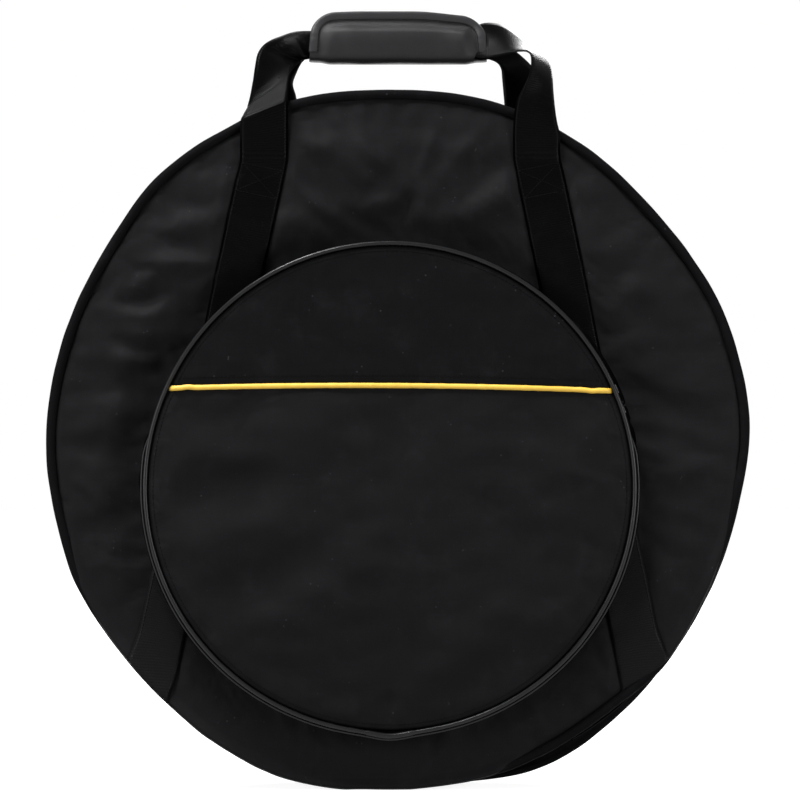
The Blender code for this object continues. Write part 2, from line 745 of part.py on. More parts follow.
def strap_outline(side_sign, half_width):
    """A sewn strap's outline: level at the top, slanting out to end along the panel's edge."""
    top = Vector((side_sign * STRAP_TOP_X, STRAP_TOP_HEIGHT))
    foot = Vector((side_sign * STRAP_FOOT_X, STRAP_FOOT_HEIGHT))
    run = (foot - top).normalized()
    across = Vector((-run.y, run.x)) * half_width
    centre = Vector(BAG_CENTRE)
    outline = []
    for edge in (across, -across):
        start = top + edge
        start -= run * ((start.y - STRAP_TOP_HEIGHT) / run.y)
        along = (centre - start).dot(run)
        reach = along + math.sqrt((PANEL_R - GAP) ** 2 - (centre - start - run * along).length_squared)
        outline.append((start, start + run * reach))
    (left_top, left_foot), (right_top, right_foot) = outline
    return [tuple(left_top), tuple(left_foot), tuple(right_foot), tuple(right_top)]


def sewn_straps(side, prefix, parent):
    """The two webbing straps sewn down a panel."""
    for word, sign in (("left", -1), ("right", 1)):
        form = prism_xz(strap_outline(sign, WEBBING_WIDTH / 2), side, STRAP_BACK, STRAP_BACK + WEBBING)
        name = prefix + word + "_strap"
        piece(name, form, "webbing", parent)


def blend(share):
    """Smooth step from 0 to 1."""
    share = min(max(share, 0.0), 1.0)
    return share * share * (3 - 2 * share)


def handle_lean(z):
    """Depth of a handle's inner face at a height, and the webbing's thickness there."""
    half = WEBBING_WIDTH / 2
    over_start = height_on_circle(PANEL_R, STRAP_TOP_X + half) - RIM_MARGIN
    over_end = height_on_circle(BAG_RADIUS, STRAP_TOP_X - half) + RIM_MARGIN
    if z < over_end:
        rise = blend((z - STRAP_TOP_HEIGHT) / (over_start - STRAP_TOP_HEIGHT))
        return STRAP_BACK + (PASS_OVER - STRAP_BACK) * rise, WEBBING
    lean = blend((z - over_end) / (BAR_BOTTOM - over_end))
    out = PASS_OVER + (BAR_HALF_GAP - PASS_OVER) * lean
    return out, WEBBING + (BAR_THICKNESS - WEBBING) * lean


def handle_edges():
    """Pairs of outer and inner edge points in X and Z, up the left leg and round to the middle."""
    half = WEBBING_WIDTH / 2
    outer_x = -STRAP_TOP_X - half
    inner_x = -STRAP_TOP_X + half
    over_start = height_on_circle(PANEL_R, outer_x) - RIM_MARGIN
    over_end = height_on_circle(BAG_RADIUS, inner_x) + RIM_MARGIN
    pairs = [((outer_x, z), (inner_x, z)) for z in (STRAP_TOP_HEIGHT + GAP, over_start, over_end)]
    for step in range(HANDLE_BEND_STEPS + 1):
        angle = step / HANDLE_BEND_STEPS * math.pi / 2
        points = []
        for radius, x, top in (
            (HANDLE_OUTER_BEND, outer_x, BAR_TOP),
            (HANDLE_INNER_BEND, inner_x, BAR_BOTTOM),
        ):
            points.append((x + radius - radius * math.cos(angle), top - radius + radius * math.sin(angle)))
        pairs.append(tuple(points))
    return pairs


def handle_loop(side, name, axis):
    """One webbing handle: up two legs, over the bag's edge and along the grip."""
    pairs = handle_edges()
    pairs += [tuple((-x, z) for x, z in pair) for pair in reversed(pairs)]
    loops = []
    for outer, inner in pairs:
        loop = []
        for (x, z), faces in ((outer, (0, 1)), (inner, (1, 0))):
            out, thickness = handle_lean(z)
            for face in faces:
                loop.append((x, depth(side, out + face * thickness), z))
        loops.append(loop)
    piece(name, loft(loops), "webbing", axis)


# Grip wrap, whose panels are sheets bent along a path in Y and Z

def wrap_path(side, from_below):
    """The middle line of a wrap panel: points in depth and height, from bottom to top."""
    middle = WRAP_INNER + WRAP_WALL / 2
    pinched = PINCH_INNER + WRAP_WALL / 2
    path = []
    if from_below:
        path.append((-(WRAP_INNER + WRAP_WALL), WRAP_BOTTOM + WRAP_WALL / 2))
        bend = WRAP_WALL / 2 + GAP
        for step in range(WRAP_BEND_STEPS + 1):
            angle = step / WRAP_BEND_STEPS * math.pi / 2
            out = middle - bend + bend * math.sin(angle)
            path.append((out, WRAP_BOTTOM + WRAP_WALL / 2 + bend - bend * math.cos(angle)))
    else:
        path.append((middle, BAR_BOTTOM))
    path.append((middle, LEAN_START))
    path.append((pinched, LEAN_END))
    for step in range(1, WRAP_CORNER_STEPS + 1):
        share = math.sin(step / WRAP_CORNER_STEPS * math.pi / 2)
        path.append((pinched, LEAN_END + (PANEL_TOP - LEAN_END) * share))
    return [Vector((depth(side, out), z)) for out, z in path]


def path_frames(path, side):
    """Each path point with its length so far, outward normal and mitre."""
    frames = []
    run = 0.0
    for index, point in enumerate(path):
        before = path[max(index - 1, 0)]
        after = path[min(index + 1, len(path) - 1)]
        run += (point - before).length
        first = (point - before).normalized() if index else (after - point).normalized()
        second = (after - point).normalized() if index < len(path) - 1 else first
        along = (first + second).normalized()
        normal = Vector((along.y, -along.x)) * side
        frames.append((run, point, normal / along.dot(first)))
    return frames


def sheet_point(frames, x, run, lift):
    """A point on a bent sheet: its X, its length along the path and its lift off the middle."""
    index = 1
    while index < len(frames) - 1 and frames[index][0] < run:
        index += 1
    start, end = frames[index - 1], frames[index]
    share = (run - start[0]) / (end[0] - start[0])
    place = start[1].lerp(end[1], share)
    normal = start[2].lerp(end[2], share)
    return (x, place.x + normal.x * lift, place.y + normal.y * lift)


def half_width_at(run, length):
    """Half of a wrap panel's width, drawn in round its upper corners."""
    left = length - run
    if left >= WRAP_CORNER:
        return WRAP_HALF
    return WRAP_HALF - WRAP_CORNER + math.sqrt(WRAP_CORNER**2 - (WRAP_CORNER - left) ** 2)


def wrap_panel(name, side, from_below, axis):
    """A padded panel of the wrap."""
    frames = path_frames(wrap_path(side, from_below), side)
    length = frames[-1][0]
    runs = [frame[0] for frame in frames]
    runs += [length - WRAP_CORNER, length - WRAP_CORNER / 2]
    loops = []
    for run in sorted(set(runs)):
        half = half_width_at(run, length)
        lifts = (WRAP_WALL / 2, -WRAP_WALL / 2)
        loop = [sheet_point(frames, -half, run, lift) for lift in lifts]
        loop += [sheet_point(frames, half, run, lift) for lift in reversed(lifts)]
        loops.append(loop)
    piece(name, loft(loops), "shell_cloth", axis)
    return frames


def wrap_edge(frames, start_run):
    """The panel's free edge in X and run, up one side, across the top and down the other."""
    length = frames[-1][0]
    corner_run = length - WRAP_CORNER
    edge = [((-WRAP_HALF, run), (1, 0)) for run, _, _ in frames if start_run <= run < corner_run]
    for step in range(WRAP_CORNER_STEPS + 1):
        angle = step / WRAP_CORNER_STEPS * math.pi / 2
        inwards = (math.cos(angle), -math.sin(angle))
        x = -WRAP_HALF + WRAP_CORNER - WRAP_CORNER * inwards[0]
        edge.append(((x, corner_run - WRAP_CORNER * inwards[1]), inwards))
    return edge + [((-x, run), (-ax, ar)) for (x, run), (ax, ar) in reversed(edge)]


def wrap_binding(name, frames, start_run, axis):
    """The tape that binds a panel's free edges: a strip on its face, turned over the edge."""
    face = WRAP_WALL / 2
    profile = (
        (BINDING_WIDTH, face + GAP), (BINDING_WIDTH, face + GAP + BINDING),
        (-GAP - BINDING, face + GAP + BINDING), (-GAP - BINDING, -face),
        (-GAP, -face), (-GAP, face + GAP),
    )
    length = frames[-1][0]
    loops = []
    for (x, run), (inward_x, inward_run) in wrap_edge(frames, start_run):
        loop = []
        for inset, lift in profile:
            place = min(run + inward_run * inset, length + GAP + BINDING)
            loop.append(sheet_point(frames, x + inward_x * inset, place, lift))
        loops.append(loop)
    piece(name, loft(loops), "webbing", axis)


def closure_strip(name, side, axis):
    """One half of the hook-and-loop closure, along the inside of a panel's top."""
    low = LEAN_END + STRIP_MARGIN
    high = PANEL_TOP - STRIP_MARGIN
    half = STRIP_LENGTH / 2
    form = prism_xz([(-half, low), (half, low), (half, high), (-half, high)], side, GAP / 2, GAP / 2 + STRIP)
    piece(name, form, "hook_and_loop", axis)


def grip_wrap(handle, flap):
    """The wrap that holds both handles together, closed with its flap at the front."""
    frames = wrap_panel("grip_back_pad", REAR, False, handle)
    wrap_binding("grip_back_binding", frames, 0, handle)
    closure_strip("grip_loop_strip", REAR, handle)
    frames = wrap_panel("grip_flap", FRONT, True, flap)
    face_start = frames[WRAP_BEND_STEPS + 1][0]
    wrap_binding("grip_flap_binding", frames, face_start, flap)
    closure_strip("grip_hook_strip", FRONT, flap)


def build():
    """Model the whole bag."""
    clear_scene()
    cover = pivot("cover_fold_axis", (0, depth(FRONT, PASS_OVER), FOLD_HEIGHT))
    pocket_fold = (0, depth(FRONT, POCKET_HINGE_DEPTH), POCKET_FOLD_HEIGHT)
    pocket_flap = pivot("pocket_fold_axis", pocket_fold, 0.0, cover)
    front_panel(cover)
    rear_panel()
    edge_piping(cover)
    lower_gusset()
    for side, prefix, parent in ((FRONT, "front_", cover), (REAR, "rear_", None)):
        upper_gusset(side, prefix, parent)
        main_zip(side, prefix, parent)
        sewn_straps(side, prefix, parent)
    main_sliders()
    pocket_face(cover, pocket_flap)
    accent_piping(pocket_flap)
    pocket_piping(cover, pocket_flap)
    pocket_gusset(cover, pocket_flap)
    pocket_zip(cover, pocket_flap)
    pocket_slider(cover)
    swing = PASS_OVER + WEBBING
    front_swing = pivot("front_handle_axis", (0, depth(FRONT, swing), STRAP_TOP_HEIGHT), 0.0, cover)
    rear_swing = pivot("rear_handle_axis", (0, depth(REAR, swing), STRAP_TOP_HEIGHT))
    handle_loop(FRONT, "front_handle", front_swing)
    handle_loop(REAR, "rear_handle", rear_swing)
    fold = (0, depth(REAR, WRAP_INNER + WRAP_WALL + GAP), BAR_BOTTOM)
    grip_wrap(rear_swing, pivot("grip_flap_axis", fold, 0.0, rear_swing))
    bpy.context.view_layer.update()


build()
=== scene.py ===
"""A round padded cymbal bag: its cloth, webbing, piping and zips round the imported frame."""
import math

import bmesh
import bpy
import numpy as np
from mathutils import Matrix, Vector
from mathutils.bvhtree import BVHTree


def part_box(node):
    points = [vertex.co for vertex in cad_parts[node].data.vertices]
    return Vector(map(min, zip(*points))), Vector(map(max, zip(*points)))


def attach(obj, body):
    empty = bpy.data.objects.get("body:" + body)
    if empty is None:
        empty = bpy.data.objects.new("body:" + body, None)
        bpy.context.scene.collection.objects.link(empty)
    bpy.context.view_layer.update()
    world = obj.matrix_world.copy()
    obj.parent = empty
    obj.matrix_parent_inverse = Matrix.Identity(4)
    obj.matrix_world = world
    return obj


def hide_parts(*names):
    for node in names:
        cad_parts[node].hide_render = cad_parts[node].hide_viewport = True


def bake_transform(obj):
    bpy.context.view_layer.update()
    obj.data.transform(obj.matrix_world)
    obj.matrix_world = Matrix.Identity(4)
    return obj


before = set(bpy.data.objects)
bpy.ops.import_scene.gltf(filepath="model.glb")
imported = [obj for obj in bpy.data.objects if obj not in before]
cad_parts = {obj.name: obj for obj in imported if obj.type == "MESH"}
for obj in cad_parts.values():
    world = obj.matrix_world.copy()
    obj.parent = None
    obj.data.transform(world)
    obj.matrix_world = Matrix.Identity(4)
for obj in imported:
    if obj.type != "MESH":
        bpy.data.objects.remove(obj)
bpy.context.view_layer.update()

# Scale of the photograph at the bag's front, and where its middle and the floor lie in it
PIXEL = 0.00084
PHOTO_MIDDLE = 398
PHOTO_FLOOR = 790
PHOTO_SIZE = 800
CAMERA_DISTANCE = 3.0
FRONT_PLANE_Y = -0.015
SENSOR = 36.0

# The frame's own sizes. Depths are counted outwards from the bag's middle plane
MID_Y = 0.016286
CENTRE_Z = 0.290469
PANEL_FACE = 0.031
SEAM_DEPTH = 0.0278
PIPING_DEPTH = 0.030
PIPING_RADIUS = 0.004
PIPING_SEAM = 0.0064
GUSSET_EDGE = 0.0268
ZIP_R = 0.2918
SLOT = 0.0078
SLOT_END = math.radians(149)
SLOT_CLOSED = math.radians(153)
CLOTH = 0.0014
LINING_DEPTH = 0.0236
LINING_R = 0.2836
GUSSET_LINING_R = 0.2845
TAPE_R = 0.2899
CHAIN_R = 0.2898

POCKET_X = -0.0067
POCKET_Z = 0.254469
POCKET_WALL = 0.2042
POCKET_FACE_R = 0.2014
POCKET_FACE = 0.0605
POCKET_CROWN = 0.008
POCKET_PIPING_R = 0.2038
POCKET_PIPING = 0.0019
POCKET_PIPING_DEPTH = 0.0594
POCKET_ZIP_DEPTH = 0.0441
POCKET_SLOT = 0.0056
POCKET_TAPE_R = 0.2025
POCKET_ZIP_END = 0.312
POCKET_ARC = math.acos((POCKET_ZIP_END - POCKET_Z) / POCKET_TAPE_R)
ACCENT_Z = 0.3396
ACCENT_RADIUS = 0.0022

WEBBING_WIDTH = 0.040
WEBBING = 0.002
STRAP_TOP = 0.529

FRONT = -1
REAR = 1


def at(px, py):
    """X and Z of a place that was measured in the photograph, in pixels."""
    return (px - PHOTO_MIDDLE) * PIXEL, (PHOTO_FLOOR - py) * PIXEL


def seen(px, py, y):
    """X and Z of what lies at Y and shows at that pixel of the photograph."""
    reach = 1 + (np.asarray(y) - FRONT_PLANE_Y) / CAMERA_DISTANCE
    middle_x, middle_z = at(PHOTO_SIZE / 2, PHOTO_SIZE / 2)
    half = PHOTO_SIZE / 2
    return middle_x + (px - half) * PIXEL * reach, middle_z + (half - py) * PIXEL * reach


def smooth(share):
    """Smooth step from 0 to 1."""
    share = np.clip(share, 0.0, 1.0)
    return share * share * (3 - 2 * share)


def bell(distance, width):
    """1 in the middle, falling off smoothly over a width."""
    return np.exp(-0.5 * (np.asarray(distance) / width) ** 2)


def swell(x, z, wavelength, seed, stretch=1.0, turn=0.0, waves=14):
    """Soft random undulation, about -1 to 1, from seeded waves of about one length."""
    draw = np.random.default_rng(seed)
    total = np.zeros(np.broadcast(x, z).shape)
    c, s = math.cos(turn), math.sin(turn)
    along, across = x * c + z * s, (z * c - x * s) * stretch
    for _ in range(waves):
        angle = draw.uniform(0, math.tau)
        number = math.tau / (wavelength * draw.uniform(0.7, 1.5))
        phase = draw.uniform(0, math.tau)
        total += np.cos(number * (along * math.cos(angle) + across * math.sin(angle)) + phase)
    return total / math.sqrt(waves / 2) / 1.6


# The outline, as degrees clockwise from the top and millimetres from the middle
FRONT_OUTLINE = (
    (0, 297.5), (8, 298.5), (16.6, 299), (30, 296.3), (37.5, 294.4), (45, 291.5), (52.5, 291.7),
    (60, 293.4), (67.5, 295.8), (75, 295.6), (82.5, 296.6), (90, 295.8), (97.5, 291.2),
    (105, 290.4), (112.5, 288.4), (120, 288.6), (125, 290.4), (130, 292.0), (134, 290.5), (138, 287), (145, 286.6),
    (151.6, 287.8), (157.5, 289), (164, 290), (172.5, 289.5), (180, 290.8), (187.5, 293.2), (192, 294.8),
    (195, 296.2), (200, 297.2), (205, 296.2), (210, 294.8), (215, 294.6), (219, 292), (225, 292), (232.5, 291.4),
    (240, 293.2), (247.5, 296), (255, 294.2), (262.5, 295.3), (270, 296.1), (285, 295.1), (300, 295.3),
    (307.5, 296.9), (315, 302.2), (322.5, 303.4), (330, 302.2), (343.7, 302.9), (352, 299.5),
)
REAR_OUTLINE = (
    (0, 294), (45, 293), (90, 294.5), (105, 292), (112.5, 291), (120, 291.5), (127, 294), (132, 298), (137, 299),
    (142, 300), (147, 303), (153, 304.4), (159, 303.4), (163, 300), (168, 296), (172.5, 293), (180, 291), (187.5, 294.5),
    (192, 299), (196, 303), (201, 304), (205, 303), (210, 301.5), (215, 300.5), (221, 295.5), (240, 295), (270, 296),
    (300, 295), (330, 296),
)
OUTLINE_STEPS = 720
OUTLINE_SOFTEN = 5


def outline_radius(table):
    """A smooth radius round the bag, flattened where the bag stands on the floor."""
    degrees = np.arange(OUTLINE_STEPS) * 360 / OUTLINE_STEPS
    marks = np.array(table, float)
    radius = np.interp(degrees, marks[:, 0], marks[:, 1], period=360) / 1000
    reach = np.arange(-3 * OUTLINE_SOFTEN, 3 * OUTLINE_SOFTEN + 1)
    kernel = bell(reach, OUTLINE_SOFTEN)
    kernel /= kernel.sum()
    radius = sum(np.roll(radius, step) * share for step, share in zip(reach, kernel))
    low = -np.cos(np.radians(degrees))
    floor = np.where(low > 0.5, (CENTRE_Z - 0.0002) / np.maximum(low, 0.5), 1.0)
    return np.minimum(radius, floor)


EDGE_RADII = {FRONT: outline_radius(FRONT_OUTLINE), REAR: outline_radius(REAR_OUTLINE)}


def edge_radius(side, turn):
    """Outer radius of one edge piping at an angle clockwise from the top."""
    steps = np.arange(OUTLINE_STEPS) * 360 / OUTLINE_STEPS
    return np.interp(np.degrees(turn) % 360, steps, EDGE_RADII[side], period=360)


def spot(side, x, z, depth):
    """Points from X, Z and depth, as one array."""
    x, z, depth = np.broadcast_arrays(x, z, depth)
    return np.stack([x, MID_Y + side * depth, z], axis=-1)


def round_spot(side, turn, radius, depth, centre=(0.0, CENTRE_Z)):
    """Points at an angle clockwise from the top and a radius about a centre."""
    return spot(side, centre[0] + radius * np.sin(turn), centre[1] + radius * np.cos(turn), depth)


# Meshes

def new_piece(name, points, faces, corners, finishes, outward=None):
    """A smooth mesh object with its cloth lengths, in metres, as a UV map."""
    faces = np.asarray(faces)
    corners = np.asarray(corners, float)
    if outward is not None:
        a, b, c, d = (points[faces[:, k]] for k in range(4))
        normal = np.cross(c - a, d - b)
        wanted = np.broadcast_to(outward, points.shape)[faces[:, 0]]
        if np.einsum("ij,ij->i", normal, wanted).sum() < 0:
            faces = faces[:, ::-1]
            corners = corners.reshape(len(faces), 4, 2)[:, ::-1].reshape(-1, 2)
    mesh = bpy.data.meshes.new(name)
    mesh.from_pydata(points.tolist(), [], faces.tolist())
    layer = mesh.uv_layers.new(name="cloth")
    layer.data.foreach_set("uv", corners.ravel())
    mesh.polygons.foreach_set("use_smooth", np.ones(len(mesh.polygons), bool))
    for finish in finishes:
        mesh.materials.append(finish)
    item = bpy.data.objects.new(name, mesh)
    bpy.context.scene.collection.objects.link(item)
    return item


def grid_faces(rows, cols, closed_rows, closed_cols):
    """Corner indexes of a grid's quads, into its points and into its larger UV grid."""
    r, c = np.meshgrid(
        np.arange(rows if closed_rows else rows - 1),
        np.arange(cols if closed_cols else cols - 1), indexing="ij",
    )
    quads, places = [], []
    wide = cols + closed_cols
    for dr, dc in ((0, 0), (0, 1), (1, 1), (1, 0)):
        quads.append(((r + dr) % rows) * cols + (c + dc) % cols)
        places.append((r + dr) * wide + c + dc)
    return np.stack(quads, -1).reshape(-1, 4), np.stack(places, -1).reshape(-1, 4)


def lengths(points, axis, closed):
    """Mean running length along a grid's rows or columns."""
    if closed:
        points = np.concatenate([points, points.take([0], axis=axis)], axis=axis)
    steps = np.linalg.norm(np.diff(points, axis=axis), axis=-1).mean(axis=1 - axis)
    return np.concatenate([[0.0], np.cumsum(steps)])


def grid_piece(name, points, finish, closed_rows=False, closed_cols=False, outward=None, uv=None):
    """A sheet, or a closed ring, from a grid of points."""
    rows, cols = points.shape[:2]
    faces, places = grid_faces(rows, cols, closed_rows, closed_cols)
    if uv is None:
        down = lengths(points, 0, closed_rows)
        along = lengths(points, 1, closed_cols)
        uv = np.stack(np.meshgrid(along, down, indexing="xy"), -1)
    corners = uv.reshape(-1, 2)[places.ravel()]
    if outward is not None:
        outward = np.asarray(outward)
        if outward.ndim == 3:
            outward = outward.reshape(-1, 3)
    return new_piece(name, points.reshape(-1, 3), faces, corners, [finish], outward)


def tidy_closed(item):
    """Close a tube's open ends and turn all its faces outwards."""
    form = bmesh.new()
    form.from_mesh(item.data)
    bmesh.ops.remove_doubles(form, verts=form.verts, dist=1e-6)
    open_edges = [edge for edge in form.edges if edge.is_boundary]
    if open_edges:
        bmesh.ops.holes_fill(form, edges=open_edges)
    bmesh.ops.recalc_face_normals(form, faces=form.faces)
    form.to_mesh(item.data)
    form.free()
    item.data.polygons.foreach_set("use_smooth", np.ones(len(item.data.polygons), bool))
    return item


def swept(name, centres, sides, ups, section, finish, closed=False):
    """A tube: a closed section of (side, up) offsets carried along a path."""
    section = np.asarray(section, float)
    if section.ndim == 2:
        section = np.broadcast_to(section, (len(centres),) + section.shape)
    points = centres[:, None] + section[..., :1] * sides[:, None] + section[..., 1:] * ups[:, None]
    return tidy_closed(grid_piece(name, points, finish, closed_rows=closed, closed_cols=True))


def oval(half_width, half_height, sides, power=1.0):
    """A closed oval section; a power below 1 squares it off."""
    turn = np.arange(sides) * math.tau / sides
    c, s = np.cos(turn), np.sin(turn)
    return np.stack([
        half_width * np.sign(c) * np.abs(c) ** power, half_height * np.sign(s) * np.abs(s) ** power,
    ], -1)


def thicken(item, thickness, offset=-1.0):
    """Give a sheet of cloth its thickness."""
    solid = item.modifiers.new("thickness", "SOLIDIFY")
    solid.thickness = thickness
    solid.offset = offset
    solid.use_even_offset = False
    return item


def disc_grid(count):
    """X and Z of a unit disc's grid without a pole, each in -1 to 1."""
    u, v = np.meshgrid(np.linspace(-1, 1, count), np.linspace(-1, 1, count), indexing="xy")
    big = np.maximum(np.abs(u), np.abs(v))
    flat = np.where(np.abs(u) >= np.abs(v), v, u) / np.where(big == 0, 1, big)
    turn = flat * math.pi / 4
    x = np.where(np.abs(u) >= np.abs(v), u * np.cos(turn), big * np.sin(turn))
    z = np.where(np.abs(u) >= np.abs(v), big * np.sin(turn), v * np.cos(turn))
    return x, z


STITCH_SIDES = 6
STITCH_RINGS = ((-1.0, 0.35, -0.9), (-0.72, 0.9, 0.0), (0.0, 1.0, 0.35), (0.72, 0.9, 0.0), (1.0, 0.35, -0.9))


def stitch_row(name, path, normals, finish, pitch=0.0031, half_length=0.00115, radius=0.0003, skip=()):
    """A row of thread stitches lying along a path, their ends sunk into the cloth."""
    path = np.asarray(path, float)
    run = np.concatenate([[0.0], np.cumsum(np.linalg.norm(np.diff(path, axis=0), axis=1))])
    count = int(run[-1] / pitch)
    middles = (np.arange(count) + 0.5) * run[-1] / count
    ends = []
    for shift in (-half_length, 0, half_length):
        where = np.clip(middles + shift, 0, run[-1])
        ends.append(np.stack([np.interp(where, run, path[:, k]) for k in range(3)], -1))
    along = ends[2] - ends[0]
    along /= np.linalg.norm(along, axis=1, keepdims=True) + 1e-12
    up = np.stack([np.interp(middles, run, np.broadcast_to(normals, path.shape)[:, k]) for k in range(3)], -1)
    up -= along * np.einsum("ij,ij->i", up, along)[:, None]
    up /= np.linalg.norm(up, axis=1, keepdims=True) + 1e-12
    side = np.cross(along, up)
    return [(ends[1], along, side, up, half_length, radius)]


def stitching(name, rows, finish):
    """One piece from several rows of stitches."""
    turn = np.arange(STITCH_SIDES) * math.tau / STITCH_SIDES
    faces, points = [], []
    ring_count = len(STITCH_RINGS)
    template = []
    for ring in range(ring_count - 1):
        for k in range(STITCH_SIDES):
            n = (k + 1) % STITCH_SIDES
            template.append((ring * STITCH_SIDES + k, ring * STITCH_SIDES + n,
                             (ring + 1) * STITCH_SIDES + n, (ring + 1) * STITCH_SIDES + k))
    for end in (0, (ring_count - 1) * STITCH_SIDES):
        template.append((end, end + 1, end + 2, end + 3))
        template.append((end, end + 3, end + 4, end + 5))
    template = np.array(template)
    base = 0
    for row in rows:
        for middle, along, side, up, half, radius in row:
            rings = []
            for reach, thick, sink in STITCH_RINGS:
                for angle in turn:
                    rings.append(middle + along * half * reach + side * radius * thick * math.cos(angle)
                                 + up * radius * (thick * math.sin(angle) + sink))
            block = np.stack(rings, 1)
            count = len(middle)
            points.append(block.reshape(-1, 3))
            starts = base + np.arange(count) * len(rings)
            faces.append((template[None] + starts[:, None, None]).reshape(-1, 4))
            base += block.shape[0] * block.shape[1]
    points, faces = np.concatenate(points), np.concatenate(faces)
    return tidy_faces(new_piece(name, points, faces, np.zeros((faces.size, 2)), [finish]))


def tidy_faces(item):
    """Turn all faces of closed forms outwards."""
    form = bmesh.new()
    form.from_mesh(item.data)
    bmesh.ops.recalc_face_normals(form, faces=form.faces)
    form.to_mesh(item.data)
    form.free()
    return item


# Where cloth bends over a joint: both bodies, and where the bend starts and ends
COVER_FOLD = ("rear_shell", "front_cover", (0, -0.018, 0.022), (0, -0.018, 0.062))
POCKET_FOLD = ("front_cover", "pocket_flap", (0, -0.0525, 0.300), (0, -0.0525, 0.326))
WRAP_FOLD = ("rear_handle_body", "grip_flap_body", (0, 0.0262, 0.6125), (0, 0.0150, 0.6125))
FRONT_HANDLE_BEND = ("front_cover", "front_handle_body", (0, -0.02, 0.516), (0, -0.02, 0.546))
REAR_HANDLE_BEND = ("rear_shell", "rear_handle_body", (0, 0.0526, 0.516), (0, 0.0526, 0.546))


def settle(item, slot, carrier, *nodes):
    """Hide the CAD nodes that the piece stands for, and hang it on the body that carries it, or leave it where it is
    when a bend is given. The slot is not used.
    """
    if nodes:
        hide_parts(*nodes)
    if isinstance(carrier, str):
        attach(item, carrier)
    else:
        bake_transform(item)
    return item


# Materials

def node_group(name, inputs, outputs):
    """An empty shader node group with named float or vector sockets."""
    group = bpy.data.node_groups.new(name, "ShaderNodeTree")
    for socket, kind, value in inputs:
        made = group.interface.new_socket(name=socket, in_out="INPUT", socket_type="NodeSocket" + kind)
        if value is not None:
            made.default_value = value
    for socket, kind in outputs:
        group.interface.new_socket(name=socket, in_out="OUTPUT", socket_type="NodeSocket" + kind)
    return group, group.nodes.new("NodeGroupInput"), group.nodes.new("NodeGroupOutput")


class Tree:
    """Short ways to add and join shader nodes."""

    def __init__(self, tree):
        self.tree = tree

    def add(self, kind, **settings):
        node = self.tree.nodes.new("ShaderNode" + kind)
        for key, value in settings.items():
            setattr(node, key, value)
        return node

    def join(self, source, target):
        if isinstance(source, bpy.types.NodeSocket):
            self.tree.links.new(source, target)
        else:
            target.default_value = source

    def math(self, operation, a, b=None, c=None, clamp=False):
        node = self.add("Math", operation=operation, use_clamp=clamp)
        for value, socket in zip((a, b, c), node.inputs):
            if value is not None:
                self.join(value, socket)
        return node.outputs[0]

    def blend(self, share, a, b):
        node = self.add("Mix", data_type="FLOAT")
        for value, socket in zip((share, a, b), (node.inputs[0], node.inputs[2], node.inputs[3])):
            self.join(value, socket)
        return node.outputs[0]

    def colours(self, share, a, b, kind="MIX"):
        node = self.add("Mix", data_type="RGBA", blend_type=kind)
        for value, socket in zip((share, a, b), (node.inputs[0], node.inputs[6], node.inputs[7])):
            self.join(value, socket)
        return node.outputs[2]

    def noise(self, vector, scale, detail=2.0, roughness=0.5):
        node = self.add("TexNoise")
        self.join(vector, node.inputs["Vector"])
        for key, value in (("Scale", scale), ("Detail", detail), ("Roughness", roughness)):
            self.join(value, node.inputs[key])
        return node.outputs["Fac"]

    def span(self, value, low, high, to_low=0.0, to_high=1.0):
        node = self.add("MapRange", interpolation_type="SMOOTHSTEP")
        for key, entry in (("Value", value), ("From Min", low), ("From Max", high),
                           ("To Min", to_low), ("To Max", to_high)):
            self.join(entry, node.inputs[key])
        return node.outputs[0]

    def group(self, tree, **inputs):
        node = self.add("Group", node_tree=tree)
        for key, value in inputs.items():
            self.join(value, node.inputs[key.replace("_", " ")])
        return node


def weave_group():
    """Plain weave: threads that pass over and under each other, some of them thicker."""
    group, start, end = node_group(
        "plain weave", (("Place", "Vector", None), ("Pitch", "Float", 0.0008), ("Slub", "Float", 0.3)),
        (("Height", "Float"), ("Tone", "Float")),
    )
    t = Tree(group)
    parts = t.add("SeparateXYZ")
    t.join(start.outputs["Place"], parts.inputs[0])
    rate = t.math("DIVIDE", math.pi, start.outputs["Pitch"])
    warp = t.math("SINE", t.math("MULTIPLY", parts.outputs[0], rate))
    weft = t.math("SINE", t.math("MULTIPLY", parts.outputs[1], rate))
    over = t.math("GREATER_THAN", t.math("MULTIPLY", warp, weft), 0.0)
    height = t.blend(over, t.math("ABSOLUTE", weft), t.math("ABSOLUTE", warp))
    lines = []
    for along, across in ((1.0, 0.02), (0.02, 1.0)):
        scaled = t.add("Mapping")
        t.join(start.outputs["Place"], scaled.inputs["Vector"])
        scaled.inputs["Scale"].default_value = (along, across, 1.0)
        lines.append(t.noise(scaled.outputs[0], 900.0, 1.0))
    slub = t.math("MULTIPLY", t.math("SUBTRACT", t.blend(over, lines[0], lines[1]), 0.5), start.outputs["Slub"])
    t.join(t.math("ADD", height, slub), end.inputs["Height"])
    t.join(t.math("MULTIPLY_ADD", height, 0.5, t.math("MULTIPLY_ADD", slub, 1.2, 0.6)), end.inputs["Tone"])
    return group


